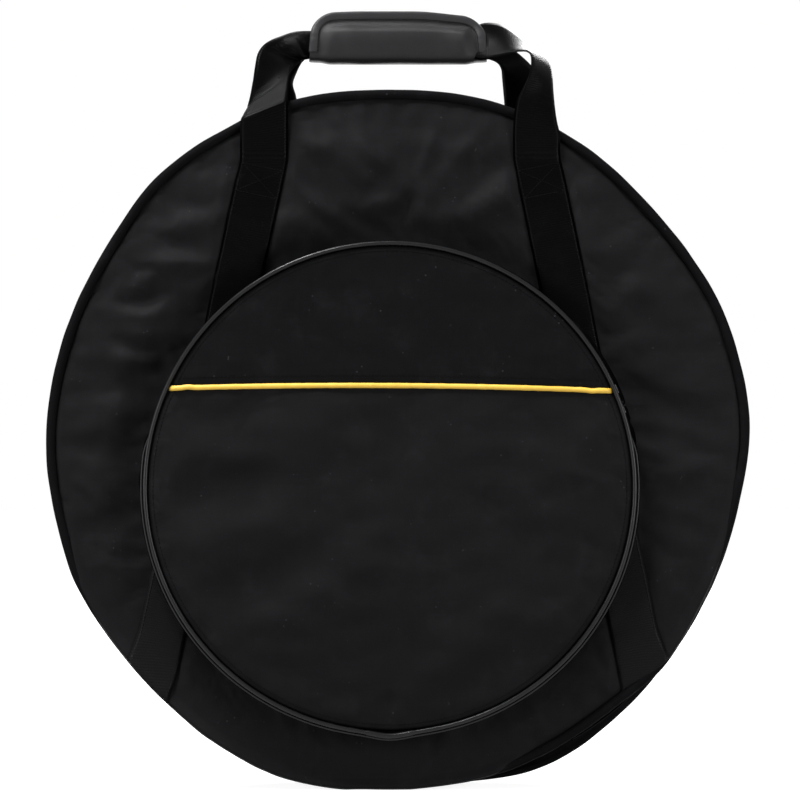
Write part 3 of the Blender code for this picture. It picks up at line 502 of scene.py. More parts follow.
def ribs_group():
    """Woven webbing: ribs across its width, broken by fine lengthwise yarns, and smooth edges."""
    group, start, end = node_group(
        "webbing ribs", (("Place", "Vector", None), ("Rib", "Float", 0.0017), ("Yarn", "Float", 0.0011)),
        (("Height", "Float"), ("Tone", "Float")),
    )
    t = Tree(group)
    parts = t.add("SeparateXYZ")
    t.join(start.outputs["Place"], parts.inputs[0])
    yarn = t.math("SINE", t.math("MULTIPLY", parts.outputs[0], t.math("DIVIDE", math.pi, start.outputs["Yarn"])))
    shift = t.math("MULTIPLY", t.math("SIGN", yarn), 0.35)
    turn = t.math("ADD", t.math("MULTIPLY", parts.outputs[1], t.math("DIVIDE", math.pi, start.outputs["Rib"])), shift)
    rib = t.math("ABSOLUTE", t.math("SINE", turn))
    height = t.math("MULTIPLY", rib, t.math("MULTIPLY_ADD", t.math("ABSOLUTE", yarn), 0.35, 0.65))
    t.join(height, end.inputs["Height"])
    t.join(t.math("MULTIPLY_ADD", height, 0.7, 0.5), end.inputs["Tone"])
    return group


def age_group():
    """Uneven dye, rubbed patches and specks of lint."""
    group, start, end = node_group(
        "dye and lint", (("Place", "Vector", None), ("Patch Scale", "Float", 9.0), ("Lint", "Float", 0.5)),
        (("Dye", "Float"), ("Rubbed", "Float"), ("Lint", "Float")),
    )
    t = Tree(group)
    place = start.outputs["Place"]
    patch = t.noise(place, start.outputs["Patch Scale"], 4.0, 0.55)
    fine = t.noise(place, 160.0, 2.0)
    t.join(t.math("MULTIPLY_ADD", patch, 0.35, t.math("MULTIPLY_ADD", fine, 0.2, 0.72)), end.inputs["Dye"])
    t.join(t.span(t.noise(place, 34.0, 5.0, 0.65), 0.5, 0.78), end.inputs["Rubbed"])
    speck = t.add("TexVoronoi", feature="F1")
    t.join(place, speck.inputs["Vector"])
    speck.inputs["Scale"].default_value = 190.0
    few = t.span(t.noise(place, 61.0, 0.0), 0.62, 0.72)
    dots = t.span(speck.outputs["Distance"], 0.07, 0.16, 1.0, 0.0)
    t.join(t.math("MULTIPLY", t.math("MULTIPLY", dots, few), start.outputs["Lint"]), end.inputs["Lint"])
    return group


WEAVE = weave_group()
RIBS = ribs_group()
AGE = age_group()


def woven(name, colour, roughness, pattern=None, pitch=0.0008, specular=0.08, sheen=0.0, depth=0.00018,
          strength=0.5, patch=9.0, lint=0.25, light=(0.03, 0.03, 0.033), rough_span=0.12, low=None):
    """A cloth, webbing or covered finish, with its weave or ribs, uneven dye, rubbing and lint."""
    finish = bpy.data.materials.new(name)
    finish.use_nodes = True
    t = Tree(finish.node_tree)
    shader = finish.node_tree.nodes["Principled BSDF"]
    place = t.add("UVMap", uv_map="cloth").outputs[0]
    body = t.add("TexCoord").outputs["Object"]
    age = t.group(AGE, Place=body, Patch_Scale=patch, Lint=lint)
    tone = age.outputs["Dye"]
    if pattern:
        settings = {"Place": place}
        settings["Pitch" if pattern == WEAVE else "Rib"] = pitch
        threads = t.group(pattern, **settings)
        tone = t.math("MULTIPLY", tone, threads.outputs["Tone"])
        bump = t.add("Bump")
        bump.inputs["Strength"].default_value = strength
        bump.inputs["Distance"].default_value = depth
        t.join(threads.outputs["Height"], bump.inputs["Height"])
        t.join(bump.outputs[0], shader.inputs["Normal"])
    plain = (*colour, 1.0)
    if low:
        # Webbing is drawn lighter and greyer towards the bag's foot
        height = t.add("SeparateXYZ")
        t.join(body, height.inputs[0])
        share = t.add("MapRange", interpolation_type="SMOOTHSTEP")
        for limit, value in (("From Min", 0.20), ("From Max", 0.36), ("To Min", 1.0), ("To Max", 0.0)):
            share.inputs[limit].default_value = value
        t.join(height.outputs["Z"], share.inputs["Value"])
        plain = t.colours(share.outputs[0], plain, (*low, 1.0))
    dyed = t.colours(1.0, plain, tone, "MULTIPLY")
    rubbed = t.colours(t.math("MULTIPLY", age.outputs["Rubbed"], 0.12), dyed, (*light, 1.0))
    linted = t.colours(age.outputs["Lint"], rubbed, (*(0.09, 0.09, 0.095), 1.0))
    t.join(linted, shader.inputs["Base Color"])
    uneven = t.math("MULTIPLY_ADD", age.outputs["Dye"], rough_span, roughness - rough_span * 0.85)
    t.join(uneven, shader.inputs["Roughness"])
    shader.inputs["Specular IOR Level"].default_value = specular
    shader.inputs["Sheen Weight"].default_value = sheen
    shader.inputs["Sheen Roughness"].default_value = 0.45
    return finish


def metal(name, colour, roughness):
    """Painted die-cast metal, worn bright along its edges."""
    finish = bpy.data.materials.new(name)
    finish.use_nodes = True
    t = Tree(finish.node_tree)
    shader = finish.node_tree.nodes["Principled BSDF"]
    body = t.add("TexCoord").outputs["Object"]
    edge = t.add("NewGeometry").outputs["Pointiness"]
    grain = t.noise(body, 900.0, 3.0)
    worn = t.math("MULTIPLY", t.span(edge, 0.52, 0.6), t.span(grain, 0.35, 0.6))
    t.join(t.colours(worn, (*colour, 1.0), (0.14, 0.14, 0.145, 1.0)), shader.inputs["Base Color"])
    t.join(t.math("MULTIPLY_ADD", grain, 0.2, roughness - 0.1), shader.inputs["Roughness"])
    shader.inputs["Metallic"].default_value = 0.85
    bump = t.add("Bump")
    bump.inputs["Strength"].default_value = 0.15
    bump.inputs["Distance"].default_value = 0.0001
    t.join(grain, bump.inputs["Height"])
    t.join(bump.outputs[0], shader.inputs["Normal"])
    return finish


SHELL = woven("shell nylon", (0.0094, 0.0094, 0.0101), 0.48, WEAVE, 0.0010, specular=0.014, depth=0.00015)
POCKET_CLOTH = woven("pocket nylon", (0.0084, 0.0084, 0.0090), 0.48, WEAVE, 0.0010, specular=0.014, depth=0.00015)
# Painted shade: the pocket's upper face uses a darker copy of the pocket nylon, for the shade that falls on it
POCKET_TOP_SHADED_CLOTH = woven("pocket top nylon", (0.0058, 0.0058, 0.0063), 0.48, WEAVE, 0.0010, specular=0.012, depth=0.00015)
GUSSET_CLOTH = woven("gusset nylon", (0.0060, 0.0060, 0.0066), 0.8, WEAVE, 0.00085, specular=0.0)
# Painted light: the wrap nylon is a lighter copy of the shell nylon, for the light that falls on the wrap from above
WRAP_TOP_LIT_CLOTH = woven("wrap nylon", (0.0115, 0.0115, 0.0124), 0.33, WEAVE, 0.0007, specular=0.13, depth=0.00012)
EDGE_CLOTH = woven("piping cover", (0.0050, 0.0050, 0.0055), 0.55, WEAVE, 0.0006, specular=0.006, depth=0.0001)
STRAP_WEB = woven("black webbing", (0.0006, 0.0006, 0.0007), 0.21, RIBS, 0.0020, specular=0.028, depth=0.00036,
                  strength=0.5, lint=0.03, light=(0.006, 0.006, 0.0065), low=(0.0070, 0.0070, 0.0075), rough_span=0.04)
# Painted light: the binding tape is lighter than the black cloth, for the highlight that the light from above gives it
BINDING_TOP_LIT_TAPE = woven("binding tape", (0.022, 0.022, 0.0233), 0.34, RIBS, 0.0008, specular=0.13, depth=0.0001)
# Painted shade: the pocket's side walls are near black, for the shadow that falls beside the pocket
POCKET_SIDE_SHADE_CLOTH = woven("pocket side nylon", (0.0014, 0.0014, 0.0016), 0.8, WEAVE, 0.00085, specular=0.0)
LINING = woven("lining nylon", (0.035, 0.036, 0.040), 0.6, WEAVE, 0.0005, sheen=0.2, lint=0.2)
GLOSSY_PIPING = woven("glossy piping", (0.005, 0.005, 0.0055), 0.26, None, specular=0.16, lint=0.1)
YELLOW_PIPING = woven("yellow piping", (0.66, 0.41, 0.058), 0.42, None, specular=0.3, sheen=0.0, lint=0.0,
                      light=(0.8, 0.5, 0.1))
TAPE = woven("zip tape", (0.008, 0.008, 0.009), 0.75, RIBS, 0.0007, depth=0.0002)
COIL = woven("zip coil", (0.012, 0.012, 0.013), 0.35, None, specular=0.4, sheen=0.0, lint=0.1)
THREAD = woven("sewing thread", (0.0025, 0.0025, 0.0028), 0.5, None, specular=0.03, sheen=0.0, lint=0.0)
HOOKS = woven("hook and loop", (0.012, 0.012, 0.012), 0.9, None, sheen=0.3, lint=0.8)
SLIDER_METAL = metal("slider metal", (0.022, 0.022, 0.023), 0.4)


# The front panel's surface

# Folds: start, middle and end in pixels of the photograph, half width and height in millimetres
PANEL_FOLDS = (
    # Left side
    (152, 193, 185, 204, 226, 207, 4.5, -1.9), (136, 228, 175, 227, 218, 214, 5, 1.3), (148, 247, 185, 246, 218, 250, 5, -1.1),
    (132, 262, 180, 263, 222, 264, 4, 1.6), (116, 251, 129, 264, 142, 274, 3, -1.3), (102, 287, 130, 285, 168, 268, 3.5, 1.4),
    (106, 297, 142, 301, 180, 283, 3.5, -1.7), (94, 306, 130, 314, 176, 311, 4, 1.6), (92, 328, 138, 349, 182, 336, 5, -1.5),
    (100, 350, 138, 361, 168, 354, 5, 1.4), (112, 372, 145, 392, 163, 390, 5, -1.2), (64, 422, 108, 433, 144, 426, 8, 0.9),
    (54, 460, 86, 488, 124, 520, 3.5, 1.4), (68, 515, 108, 540, 144, 545, 8, 0.7),
    # Top
    (292, 118, 319, 143, 346, 130, 5, 1.9), (345, 122, 375, 156, 396, 172, 4, 1.7), (328, 148, 358, 174, 376, 186, 5, 1.0),
    (284, 166, 310, 199, 342, 221, 3, 1.3), (360, 199, 382, 203, 402, 194, 4, 1.7), (334, 203, 368, 225, 398, 233, 4, -1.5),
    (414, 186, 406, 210, 399, 232, 3, -1.9), (488, 120, 470, 145, 450, 166, 4, 1.2), (436, 122, 429, 150, 417, 180, 3, 1.0),
    (525, 180, 490, 206, 452, 224, 6, 1.8), (514, 148, 485, 173, 458, 198, 6, -1.2), (380, 104, 372, 118, 362, 128, 4, -0.8),
    # Right side
    (614, 376, 660, 401, 704, 422, 6, -1.4), (634, 440, 688, 447, 730, 434, 6, 1.2), (636, 482, 690, 470, 738, 453, 5, 0.8),
    (646, 522, 700, 506, 738, 488, 5, 0.8), (636, 562, 690, 546, 728, 523, 5, 0.8), (634, 348, 680, 350, 720, 353, 4, -0.8),
    (574, 260, 610, 246, 655, 239, 5, 0.6), (600, 300, 640, 290, 690, 292, 7, 0.6),
)
PANEL_PUFF = 0.0062
FOLD_STRENGTH = 3.0
POCKET_FOLD_STRENGTH = 2.4
FOLD_WIDTH = 1.35


def fold_sum(x, z, folds):
    """Height of the listed folds: smooth ridges and valleys along short curves."""
    total = np.zeros(np.broadcast(x, z).shape)
    t = np.linspace(0, 1, 13)
    for x0, y0, x1, y1, x2, y2, width, height in folds:
        start, middle, end = (np.array(at(px, py)) for px, py in ((x0, y0), (x1, y1), (x2, y2)))
        bent = 2 * middle - (start + end) / 2
        line = ((1 - t) ** 2)[:, None] * start + (2 * t * (1 - t))[:, None] * bent + (t**2)[:, None] * end
        nearest = np.full(total.shape, 1e9)
        share = np.zeros(total.shape)
        for k in range(12):
            (ax, az), (bx, bz) = line[k], line[k + 1]
            dx, dz = bx - ax, bz - az
            part = np.clip(((x - ax) * dx + (z - az) * dz) / (dx * dx + dz * dz), 0, 1)
            gap = np.hypot(x - ax - part * dx, z - az - part * dz)
            share = np.where(gap < nearest, (k + part) / 12, share)
            nearest = np.minimum(nearest, gap)
        taper = 0.15 + 0.85 * smooth(share / 0.35) * smooth((1 - share) / 0.35)
        total += height / 1000 * taper * bell(nearest, FOLD_WIDTH * width / 1000)
    return total


def polar(x, z, centre=(0.0, CENTRE_Z)):
    """Angle clockwise from the top, and radius, about a centre."""
    return np.arctan2(x - centre[0], z - centre[1]), np.hypot(x - centre[0], z - centre[1])


def strap_lines(side):
    """Top and foot of each sewn strap's middle line, in X and Z."""
    if side == FRONT:
        return (at(264, 160), at(151, 686)), (at(537, 160), at(646, 690))
    return ((-0.115, STRAP_TOP), (-0.2065, 0.088)), ((0.115, STRAP_TOP), (0.2065, 0.088))


def strap_press(side, x, z):
    """1 under a sewn strap, 0 away from it."""
    press = np.zeros(np.broadcast(x, z).shape)
    for (tx, tz), (fx, fz) in strap_lines(side):
        length = math.hypot(fx - tx, fz - tz)
        ux, uz = (fx - tx) / length, (fz - tz) / length
        across = (x - tx) * uz - (z - tz) * ux
        along = (x - tx) * ux + (z - tz) * uz
        inside = 1 - smooth((np.abs(across) - 0.017) / 0.012)
        press = np.maximum(press, inside * smooth((along + 0.02) / 0.03))
    return press


def eased(start_depth, held, centre, radius, ease, pressure, cap):
    """How far simulated cloth moves outwards, as a square grid about a centre.

    The cloth starts as start_depth says, is cut larger than its place by the ease, and is held
    where held is 1. A light pressure behind it lifts it into soft folds."""
    u, v = disc_grid(EASE_COUNT)
    turn, reach = np.arctan2(u, v), radius(np.arctan2(u, v)) * np.hypot(u, v)
    x, z = centre[0] + reach * np.sin(turn), centre[1] + reach * np.cos(turn)
    points = np.stack([x, -start_depth(x, z), z], -1)
    item = grid_piece("cloth_form", points, None, outward=(0, -1, 0))
    group = item.vertex_groups.new(name="held")
    for index, weight in enumerate(held(x, z).ravel()):
        if weight > 0.01:
            group.add([index], float(weight), "REPLACE")
    cloth = item.modifiers.new("cloth", "CLOTH")
    setting = cloth.settings
    setting.quality = 5
    setting.mass = 0.15
    setting.tension_stiffness = setting.compression_stiffness = 25
    setting.shear_stiffness = 12
    setting.bending_stiffness = 0.25
    setting.shrink_min = setting.shrink_max = -ease
    setting.vertex_group_mass = "held"
    setting.effector_weights.gravity = 0
    setting.use_pressure = True
    setting.uniform_pressure_force = pressure
    cloth.point_cache.frame_start, cloth.point_cache.frame_end = 1, EASE_FRAMES
    for number in range(1, EASE_FRAMES + 1):
        bpy.context.scene.frame_set(number)
    shape = item.evaluated_get(bpy.context.evaluated_depsgraph_get()).to_mesh()
    tree = BVHTree.FromPolygons([tuple(p.co) for p in shape.vertices], [tuple(f.vertices) for f in shape.polygons])
    wide = float(reach.max())
    places = np.linspace(-wide, wide, EASE_GRID)
    gx, gz = np.meshgrid(centre[0] + places, centre[1] + places, indexing="xy")
    start = start_depth(gx, gz)
    moved = np.zeros(gx.shape)
    for row, column in np.ndindex(gx.shape):
        hit = tree.ray_cast(Vector((gx[row, column], -1, gz[row, column])), Vector((0, 1, 0)))[0]
        if hit is not None:
            moved[row, column] = -hit.y - start[row, column]
    bpy.data.objects.remove(item)
    bpy.context.scene.frame_set(1)
    return cap * np.tanh(moved / cap), centre, wide


def sampled(grid, x, z):
    """Value of a square grid at places in X and Z."""
    values, centre, wide = grid
    last = len(values) - 1
    column = np.clip((x - centre[0] + wide) / (2 * wide) * last, 0, last - 1e-6)
    row = np.clip((z - centre[1] + wide) / (2 * wide) * last, 0, last - 1e-6)
    c, r = column.astype(int), row.astype(int)
    fc, fr = column - c, row - r
    low = values[r, c] * (1 - fc) + values[r, c + 1] * fc
    high = values[r + 1, c] * (1 - fc) + values[r + 1, c + 1] * fc
    return low * (1 - fr) + high * fr


# How far the cloth rolls out over the piping, by degrees clockwise from the top
ROLLED_OUT = ((0, 0), (92, 0), (106, 0.7), (114, 1), (128, 1), (136, 0), (155, 0), (164, 1),
              (236, 1), (246, 0.75), (254, 0.2), (264, 0), (360, 0))


def rolled_share(side, turn):
    """How far the cloth rolls out at an angle, between 0 and 1."""
    table = np.array(ROLLED_OUT)
    return np.interp(np.degrees(turn) % 360, table[:, 0], table[:, 1]) * (1.0 if side == FRONT else 0.8)


def rolled_out(side, turn, radius, depth):
    """Radius and depth of a panel's cloth low down, where it rolls out over the piping."""
    rolled = rolled_share(side, turn)
    away = edge_radius(side, turn) - PIPING_SEAM - radius
    depth = depth + rolled * (0.0072 * (1 - smooth(away / 0.009)) + 0.0010 * bell(away - 0.005, 0.004)
                              - 0.0020 * np.exp(-np.maximum(away, 0) / 0.0007))
    return radius + 0.0056 * rolled * (1 - smooth(away / 0.022)), depth


def panel_held(side):
    """Where a panel's cloth is sewn: round its edge, under its straps and under the pocket."""
    def held(x, z):
        turn, radius = polar(x, z)
        edge = edge_radius(side, turn) - PIPING_SEAM - radius
        sewn = np.maximum(1 - smooth((edge - 0.003) / 0.004), 0.9 * strap_press(side, x, z))
        if side == FRONT:
            away = polar(x, z, (POCKET_X, POCKET_Z))[1] - POCKET_WALL
            sewn = np.maximum(sewn, 1 - smooth((away - 0.001) / 0.004))
        return sewn
    return held


def panel_depth(side, x, z):
    """Depth of a panel's cloth, with the folds that its simulation gave it."""
    turn, radius = polar(x, z)
    calm = 1 - rolled_share(side, turn) * (1 - smooth((edge_radius(side, turn) - PIPING_SEAM - radius) / 0.040))
    return formed_depth(side, x, z) + calm * sampled(PANEL_EASE[side], *np.broadcast_arrays(x, z))


def formed_depth(side, x, z):
    """Depth of a panel's cloth before its simulation."""
    turn, radius = polar(x, z)
    edge = edge_radius(side, turn) - PIPING_SEAM - radius
    arc = turn * CENTRE_Z
    tuck = 1 - np.exp(-np.maximum(edge, 0) / 0.0045)
    puff = smooth(edge / 0.055)
    plump = 1.0 if side == FRONT else 0.45
    lift = PANEL_PUFF * plump * puff
    calm = 1 - rolled_share(side, turn) * (1 - smooth(edge / 0.040))
    pucker = calm * bell(edge - 0.010, 0.010) * swell(arc, radius * 0.25, 0.026, 11 if side == FRONT else 12)
    lift = lift + 0.0007 * pucker * tuck
    broad = swell(x, z, 0.105, 21 if side == FRONT else 22, stretch=1.5)
    fine = swell(x, z, 0.042, 23 if side == FRONT else 24, stretch=1.7)
    lift = lift + puff * plump * (0.0021 * broad + 0.0009 * calm * fine)
    if side == FRONT:
        wall_turn, wall = polar(x, z, (POCKET_X, POCKET_Z))
        away = wall - POCKET_WALL
        lift = lift + puff * FOLD_STRENGTH * fold_sum(x, z, PANEL_FOLDS)
        seam = smooth(away / 0.042)
        gather = bell(away - 0.008, 0.008) * swell(wall_turn * POCKET_WALL, wall * 0.2, 0.021, 31)
        lift = np.where(away > 0, lift * (0.06 + 0.94 * seam) + 0.0003 * gather, 0.0002)
        # Above the pocket the cloth is drawn down behind it
        over = bell(np.abs((wall_turn + math.pi) % math.tau - math.pi), 0.62)
        lift = lift - 0.0045 * over * (1 - smooth(away / 0.034))
    lift = lift * (1 - 0.45 * strap_press(side, x, z))
    return SEAM_DEPTH + (PANEL_FACE - SEAM_DEPTH) * tuck + lift


EASE_COUNT = 88
EASE_FRAMES = 14
EASE_GRID = 170
PANEL_EASE = {}
for panel_side in (FRONT, REAR):
    PANEL_EASE[panel_side] = eased(
        lambda x, z, side=panel_side: formed_depth(side, x, z), panel_held(panel_side), (0.0, CENTRE_Z),
        lambda turn, side=panel_side: edge_radius(side, turn) - PIPING_SEAM, 0.020, 1.2, 0.002,
    )


def panel_cloth(side, name, carrier, *nodes):
    """One padded panel, tucked in at its seam with the piping."""
    u, v = disc_grid(250)
    turn, share = np.arctan2(u, v), np.hypot(u, v)
    share = share * (1.3 - 0.3 * share**2)
    radius = share * (edge_radius(side, turn) - PIPING_SEAM)
    x, z = radius * np.sin(turn), CENTRE_Z + radius * np.cos(turn)
    depth = panel_depth(side, x, z)
    radius, depth = rolled_out(side, turn, radius, depth)
    x, z = radius * np.sin(turn), np.maximum(CENTRE_Z + radius * np.cos(turn), 0.0003)
    points = spot(side, x, z, depth)
    uv = np.stack([x, z], -1)
    item = thicken(grid_piece(name, points, SHELL, outward=(0, side, 0), uv=uv), CLOTH)
    return settle(item, "shell_cloth", carrier, *nodes)


def ring_turns(count, start=0.0, end=math.tau):
    """Evenly spread angles round the bag; a whole ring leaves its last one out."""
    return start + (end - start) * np.arange(count) / (count if end - start > 6.28 else count - 1)


def edge_piping(side, name, carrier, *nodes):
    """Cloth-covered cord round a panel's edge."""
    turn = ring_turns(720)
    arc = turn * CENTRE_Z
    swelling = 1 + 0.04 * swell(arc, 0 * arc, 0.03, 41 + side)
    radius = edge_radius(side, turn) - PIPING_RADIUS
    centres = round_spot(side, turn, radius, PIPING_DEPTH)
    centres[:, 2] = np.maximum(centres[:, 2], PIPING_RADIUS + 0.0001)
    outwards = np.stack([np.sin(turn), 0 * turn, np.cos(turn)], -1)
    faces = np.stack([0 * turn, side + 0 * turn, 0 * turn], -1)
    section = oval(PIPING_RADIUS, PIPING_RADIUS, 16)[None] * swelling[:, None, None]
    item = swept(name, centres, outwards, faces, section, EDGE_CLOTH, closed=True)
    return settle(item, "shell_cloth", carrier, *nodes)


def slot_half(turn):
    """Half of the slot that the gusset leaves over the zip; it closes below the zip's ends."""
    away = np.abs((turn + math.pi) % math.tau - math.pi)
    return 0.0002 + (SLOT - 0.0002) * (1 - smooth((away - SLOT_END) / (SLOT_CLOSED - SLOT_END)))


def gusset_half(side, name, carrier, *nodes):
    """Half of the gusset, from a panel's piping to its hem along the zip."""
    turn = ring_turns(720)
    share = np.linspace(0, 1, 15)[:, None]
    slot = slot_half(turn)[None]
    edge = edge_radius(side, turn)[None] - 0.0050
    depth = GUSSET_EDGE + (slot - GUSSET_EDGE) * share
    arc = turn[None] * CENTRE_Z
    low = smooth((np.abs((turn + math.pi) % math.tau - math.pi) - 2.2) / 0.5)[None]
    crown = np.sin(math.pi * share) * (0.0014 - 0.0010 * low)
    ripples = np.sin(math.pi * share) ** 0.7 * swell(arc, share * 0.02, 0.030, 51 + side)
    radius = edge + (ZIP_R - edge) * smooth(share) + crown + 0.0007 * ripples
    hem = np.array([[0.0008], [0.0014], [0.0014]])
    radius = np.concatenate([radius, ZIP_R - hem + 0 * slot])
    depth = np.concatenate([depth, slot + np.array([[-0.0002], [0.0006], [0.0040]])])
    points = round_spot(side, turn[None], radius, depth)
    points[..., 2] = np.maximum(points[..., 2], 0.0012)
    outwards = np.stack([np.sin(turn), 0 * turn, np.cos(turn)], -1)[None].repeat(len(radius), 0)
    item = grid_piece(name, points, GUSSET_CLOTH, closed_cols=True, outward=outwards)
    thicken(item, 0.0008)
    return settle(item, "shell_cloth", carrier, *nodes)


def lining_disc(side, name, carrier, *nodes):
    """The lining of one panel."""
    u, v = disc_grid(110)
    turn, share = np.arctan2(u, v), np.hypot(u, v)
    radius = share * LINING_R
    x, z = radius * np.sin(turn), CENTRE_Z + radius * np.cos(turn)
    ease = smooth((1 - share) / 0.1)
    depth = LINING_DEPTH - ease * (0.0006 + 0.0005 * swell(x, z, 0.06, 61 + side, stretch=1.6))
    item = grid_piece(name, spot(side, x, z, depth), LINING, outward=(0, -side, 0), uv=np.stack([x, z], -1))
    thicken(item, 0.0004)
    return settle(item, "lining_cloth", carrier, *nodes)


def gusset_lining(side, name, carrier, *nodes):
    """The gusset's lining, turned out over the foam's edge along the zip."""
    turn = ring_turns(540)
    slot = slot_half(turn)[None]
    depth = np.concatenate([
        LINING_DEPTH + (slot + 0.0012 - LINING_DEPTH) * np.linspace(0, 1, 8)[:, None],
        slot + np.array([[0.0004], [0.0003], [0.0003]]),
    ])
    radius = GUSSET_LINING_R + np.array([0.0] * 8 + [0.0006, 0.0030, 0.0048])[:, None] + 0 * depth
    ripples = swell(turn[None] * CENTRE_Z, depth, 0.035, 71 + side)
    radius[1:7] -= 0.0004 * np.abs(ripples[1:7])
    points = round_spot(side, turn[None], radius, depth)
    inwards = -np.stack([np.sin(turn), 0 * turn, np.cos(turn)], -1)[None].repeat(len(radius), 0)
    item = grid_piece(name, points, LINING, closed_cols=True, outward=inwards)
    thicken(item, 0.0003)
    return settle(item, "lining_cloth", carrier, *nodes)


# Zips

def zip_ring(side, name, finish, radius, near, far, turns, centre, carrier, *nodes, thickness=0.0006):
    """A zip's tape: a narrow strip round part of a circle."""
    depth = np.linspace(near, far, 6)[:, None]
    points = round_spot(side, turns[None], radius + 0 * depth, depth, centre)
    outwards = np.stack([np.sin(turns), 0 * turns, np.cos(turns)], -1)[None].repeat(6, 0)
    item = thicken(grid_piece(name, points, finish, outward=outwards), thickness)
    return settle(item, "zip_tape", carrier, *nodes)


def coil(side, name, radius, middle, half_width, half_height, pitch, shift, start, end, centre, carrier, *nodes):
    """A zip coil: one nylon thread wound along the chain, flat on its tape."""
    per_turn = 10
    count = int((end - start) * radius / pitch)
    steps = np.arange(count * per_turn + 1) / per_turn
    wind = (steps + shift) * math.tau
    turn = start + steps * pitch / radius
    across = np.cos(wind)
    depth = middle - half_width * np.sign(across) * np.abs(across) ** 0.75
    out = radius + half_height * np.sin(wind)
    centres = round_spot(side, turn, out, depth, centre)
    along = np.gradient(centres, axis=0)
    along /= np.linalg.norm(along, axis=1, keepdims=True)
    outwards = np.stack([np.sin(turn), 0 * turn, np.cos(turn)], -1)
    sides = np.cross(along, outwards)
    sides /= np.linalg.norm(sides, axis=1, keepdims=True)
    ups = np.cross(sides, along)
    wire = pitch * 0.19
    item = swept(name, centres, sides, ups, oval(wire, wire, 5), COIL)
    return settle(item, "zip_coil", carrier, *nodes)


# Webbing

def ribbon(name, loops, runs, finish):
    """A closed band of webbing from cross-section loops, with its width and length as its UVs."""
    points = np.asarray(loops)
    across = np.concatenate([runs_across(points), [0.0]])
    uv = np.stack(np.broadcast_arrays(across[None, :], np.asarray(runs)[:, None]), -1)
    item = grid_piece(name, points, finish, closed_cols=True, uv=uv)
    return tidy_closed(item)


def runs_across(points):
    """Place across the webbing of each point of a loop, the same on both faces."""
    half = points.shape[1] // 2
    top = np.linspace(-0.5, 0.5, half)
    return np.concatenate([top, top[::-1]]) * WEBBING_WIDTH


BAND_POINTS = 13


def band_loop(place, half_width, thickness, lift):
    """Across-positions and lifts of one band section: its face, then its back."""
    across = np.linspace(-1, 1, BAND_POINTS)
    edge = np.sqrt(np.clip(1 - np.abs(across) ** 14, 0, 1))
    face = lift + thickness * (0.5 + 0.5 * edge)
    back = lift + thickness * (0.5 - 0.5 * edge)
    return across * half_width, face, back


def catmull(rows, steps):
    """Smooth path through rows of numbers."""
    rows = np.asarray(rows, float)
    padded = np.concatenate([[2 * rows[0] - rows[1]], rows, [2 * rows[-1] - rows[-2]]])
    path = []
    for k in range(len(rows) - 1):
        a, b, c, d = padded[k:k + 4]
        for t in np.arange(steps) / steps:
            path.append(0.5 * (2 * b + (c - a) * t + (2 * a - 5 * b + 4 * c - d) * t**2
                               + (3 * b - a - 3 * c + d) * t**3))
    path.append(rows[-1])
    return np.array(path)


def strap_loops(side, line, sign):
    """Sections of a sewn strap, from its foot under the piping up to where it leaves the panel."""
    (tx, tz), (fx, fz) = line
    length = math.hypot(fx - tx, fz - tz)
    ux, uz = (tx - fx) / length, (tz - fz) / length
    px, pz = (uz, -ux)
    if px * sign > 0:
        px, pz = -px, -pz
    loops, runs = [], []
    for along in np.linspace(-0.022, length, 170):
        across, face, back = band_loop(0, WEBBING_WIDTH / 2, WEBBING, 0.0002)
        level = smooth((along - length + 0.03) / 0.03)
        dx, dz = px * (1 - level) + (-sign) * level, pz * (1 - level)
        size = math.hypot(dx, dz)
        x = fx + ux * along + across * dx / size
        z = fz + uz * along + across * dz / size
        turn, radius = polar(x, z)
        limit = edge_radius(side, turn) - PIPING_SEAM - 0.0005
        held = np.minimum(radius, limit)
        base = panel_depth(side, held * np.sin(turn), CENTRE_Z + held * np.cos(turn))
        held, base = rolled_out(side, turn, held, base)
        x, z = held * np.sin(turn), CENTRE_Z + held * np.cos(turn)
        level = base.mean() * 0.5 + base * 0.5
        level = np.maximum(level, base)
        loops.append(np.concatenate([spot(side, x, z, level + face), spot(side, x, z, level + back)[::-1]]))
        runs.append(along)
    return loops, runs


def free_loops(side, rows, steps=14):
    """Sections of the free webbing, from its outer and inner edges as pixels and depths."""
    path = catmull(rows, steps)
    edges = []
    for px, py, depth in (path[:, :3].T, path[:, 3:6].T):
        x, z = seen(px, py, MID_Y + side * depth / 1000)
        edges.append(spot(side, x, z, depth / 1000))
    outer, inner = edges
    centre = (outer + inner) / 2
    half_width = np.linalg.norm(inner - outer, axis=1) / 2
    across = (inner - outer) / half_width[:, None] / 2
    along = np.gradient(centre, axis=0)
    normal = np.cross(along, across)
    normal /= np.linalg.norm(normal, axis=1, keepdims=True)
    if normal[0, 1] * side < 0:
        normal = -normal
    loops, runs = [], []
    run = 0.0
    for k in range(len(path)):
        place, face, back = band_loop(0, half_width[k], path[k, 6] / 1000, -path[k, 6] / 2000)
        bow = path[k, 7] / 1000 * (1 - (place / half_width[k]) ** 2)
        top = centre[k] + place[:, None] * across[k] + (face + bow)[:, None] * normal[k]
        low = centre[k] + place[:, None] * across[k] + (back + bow)[:, None] * normal[k]
        loops.append(np.concatenate([top, low[::-1]]))
        if k:
            run += np.linalg.norm(centre[k] - centre[k - 1])
        runs.append(run)
    return loops, runs


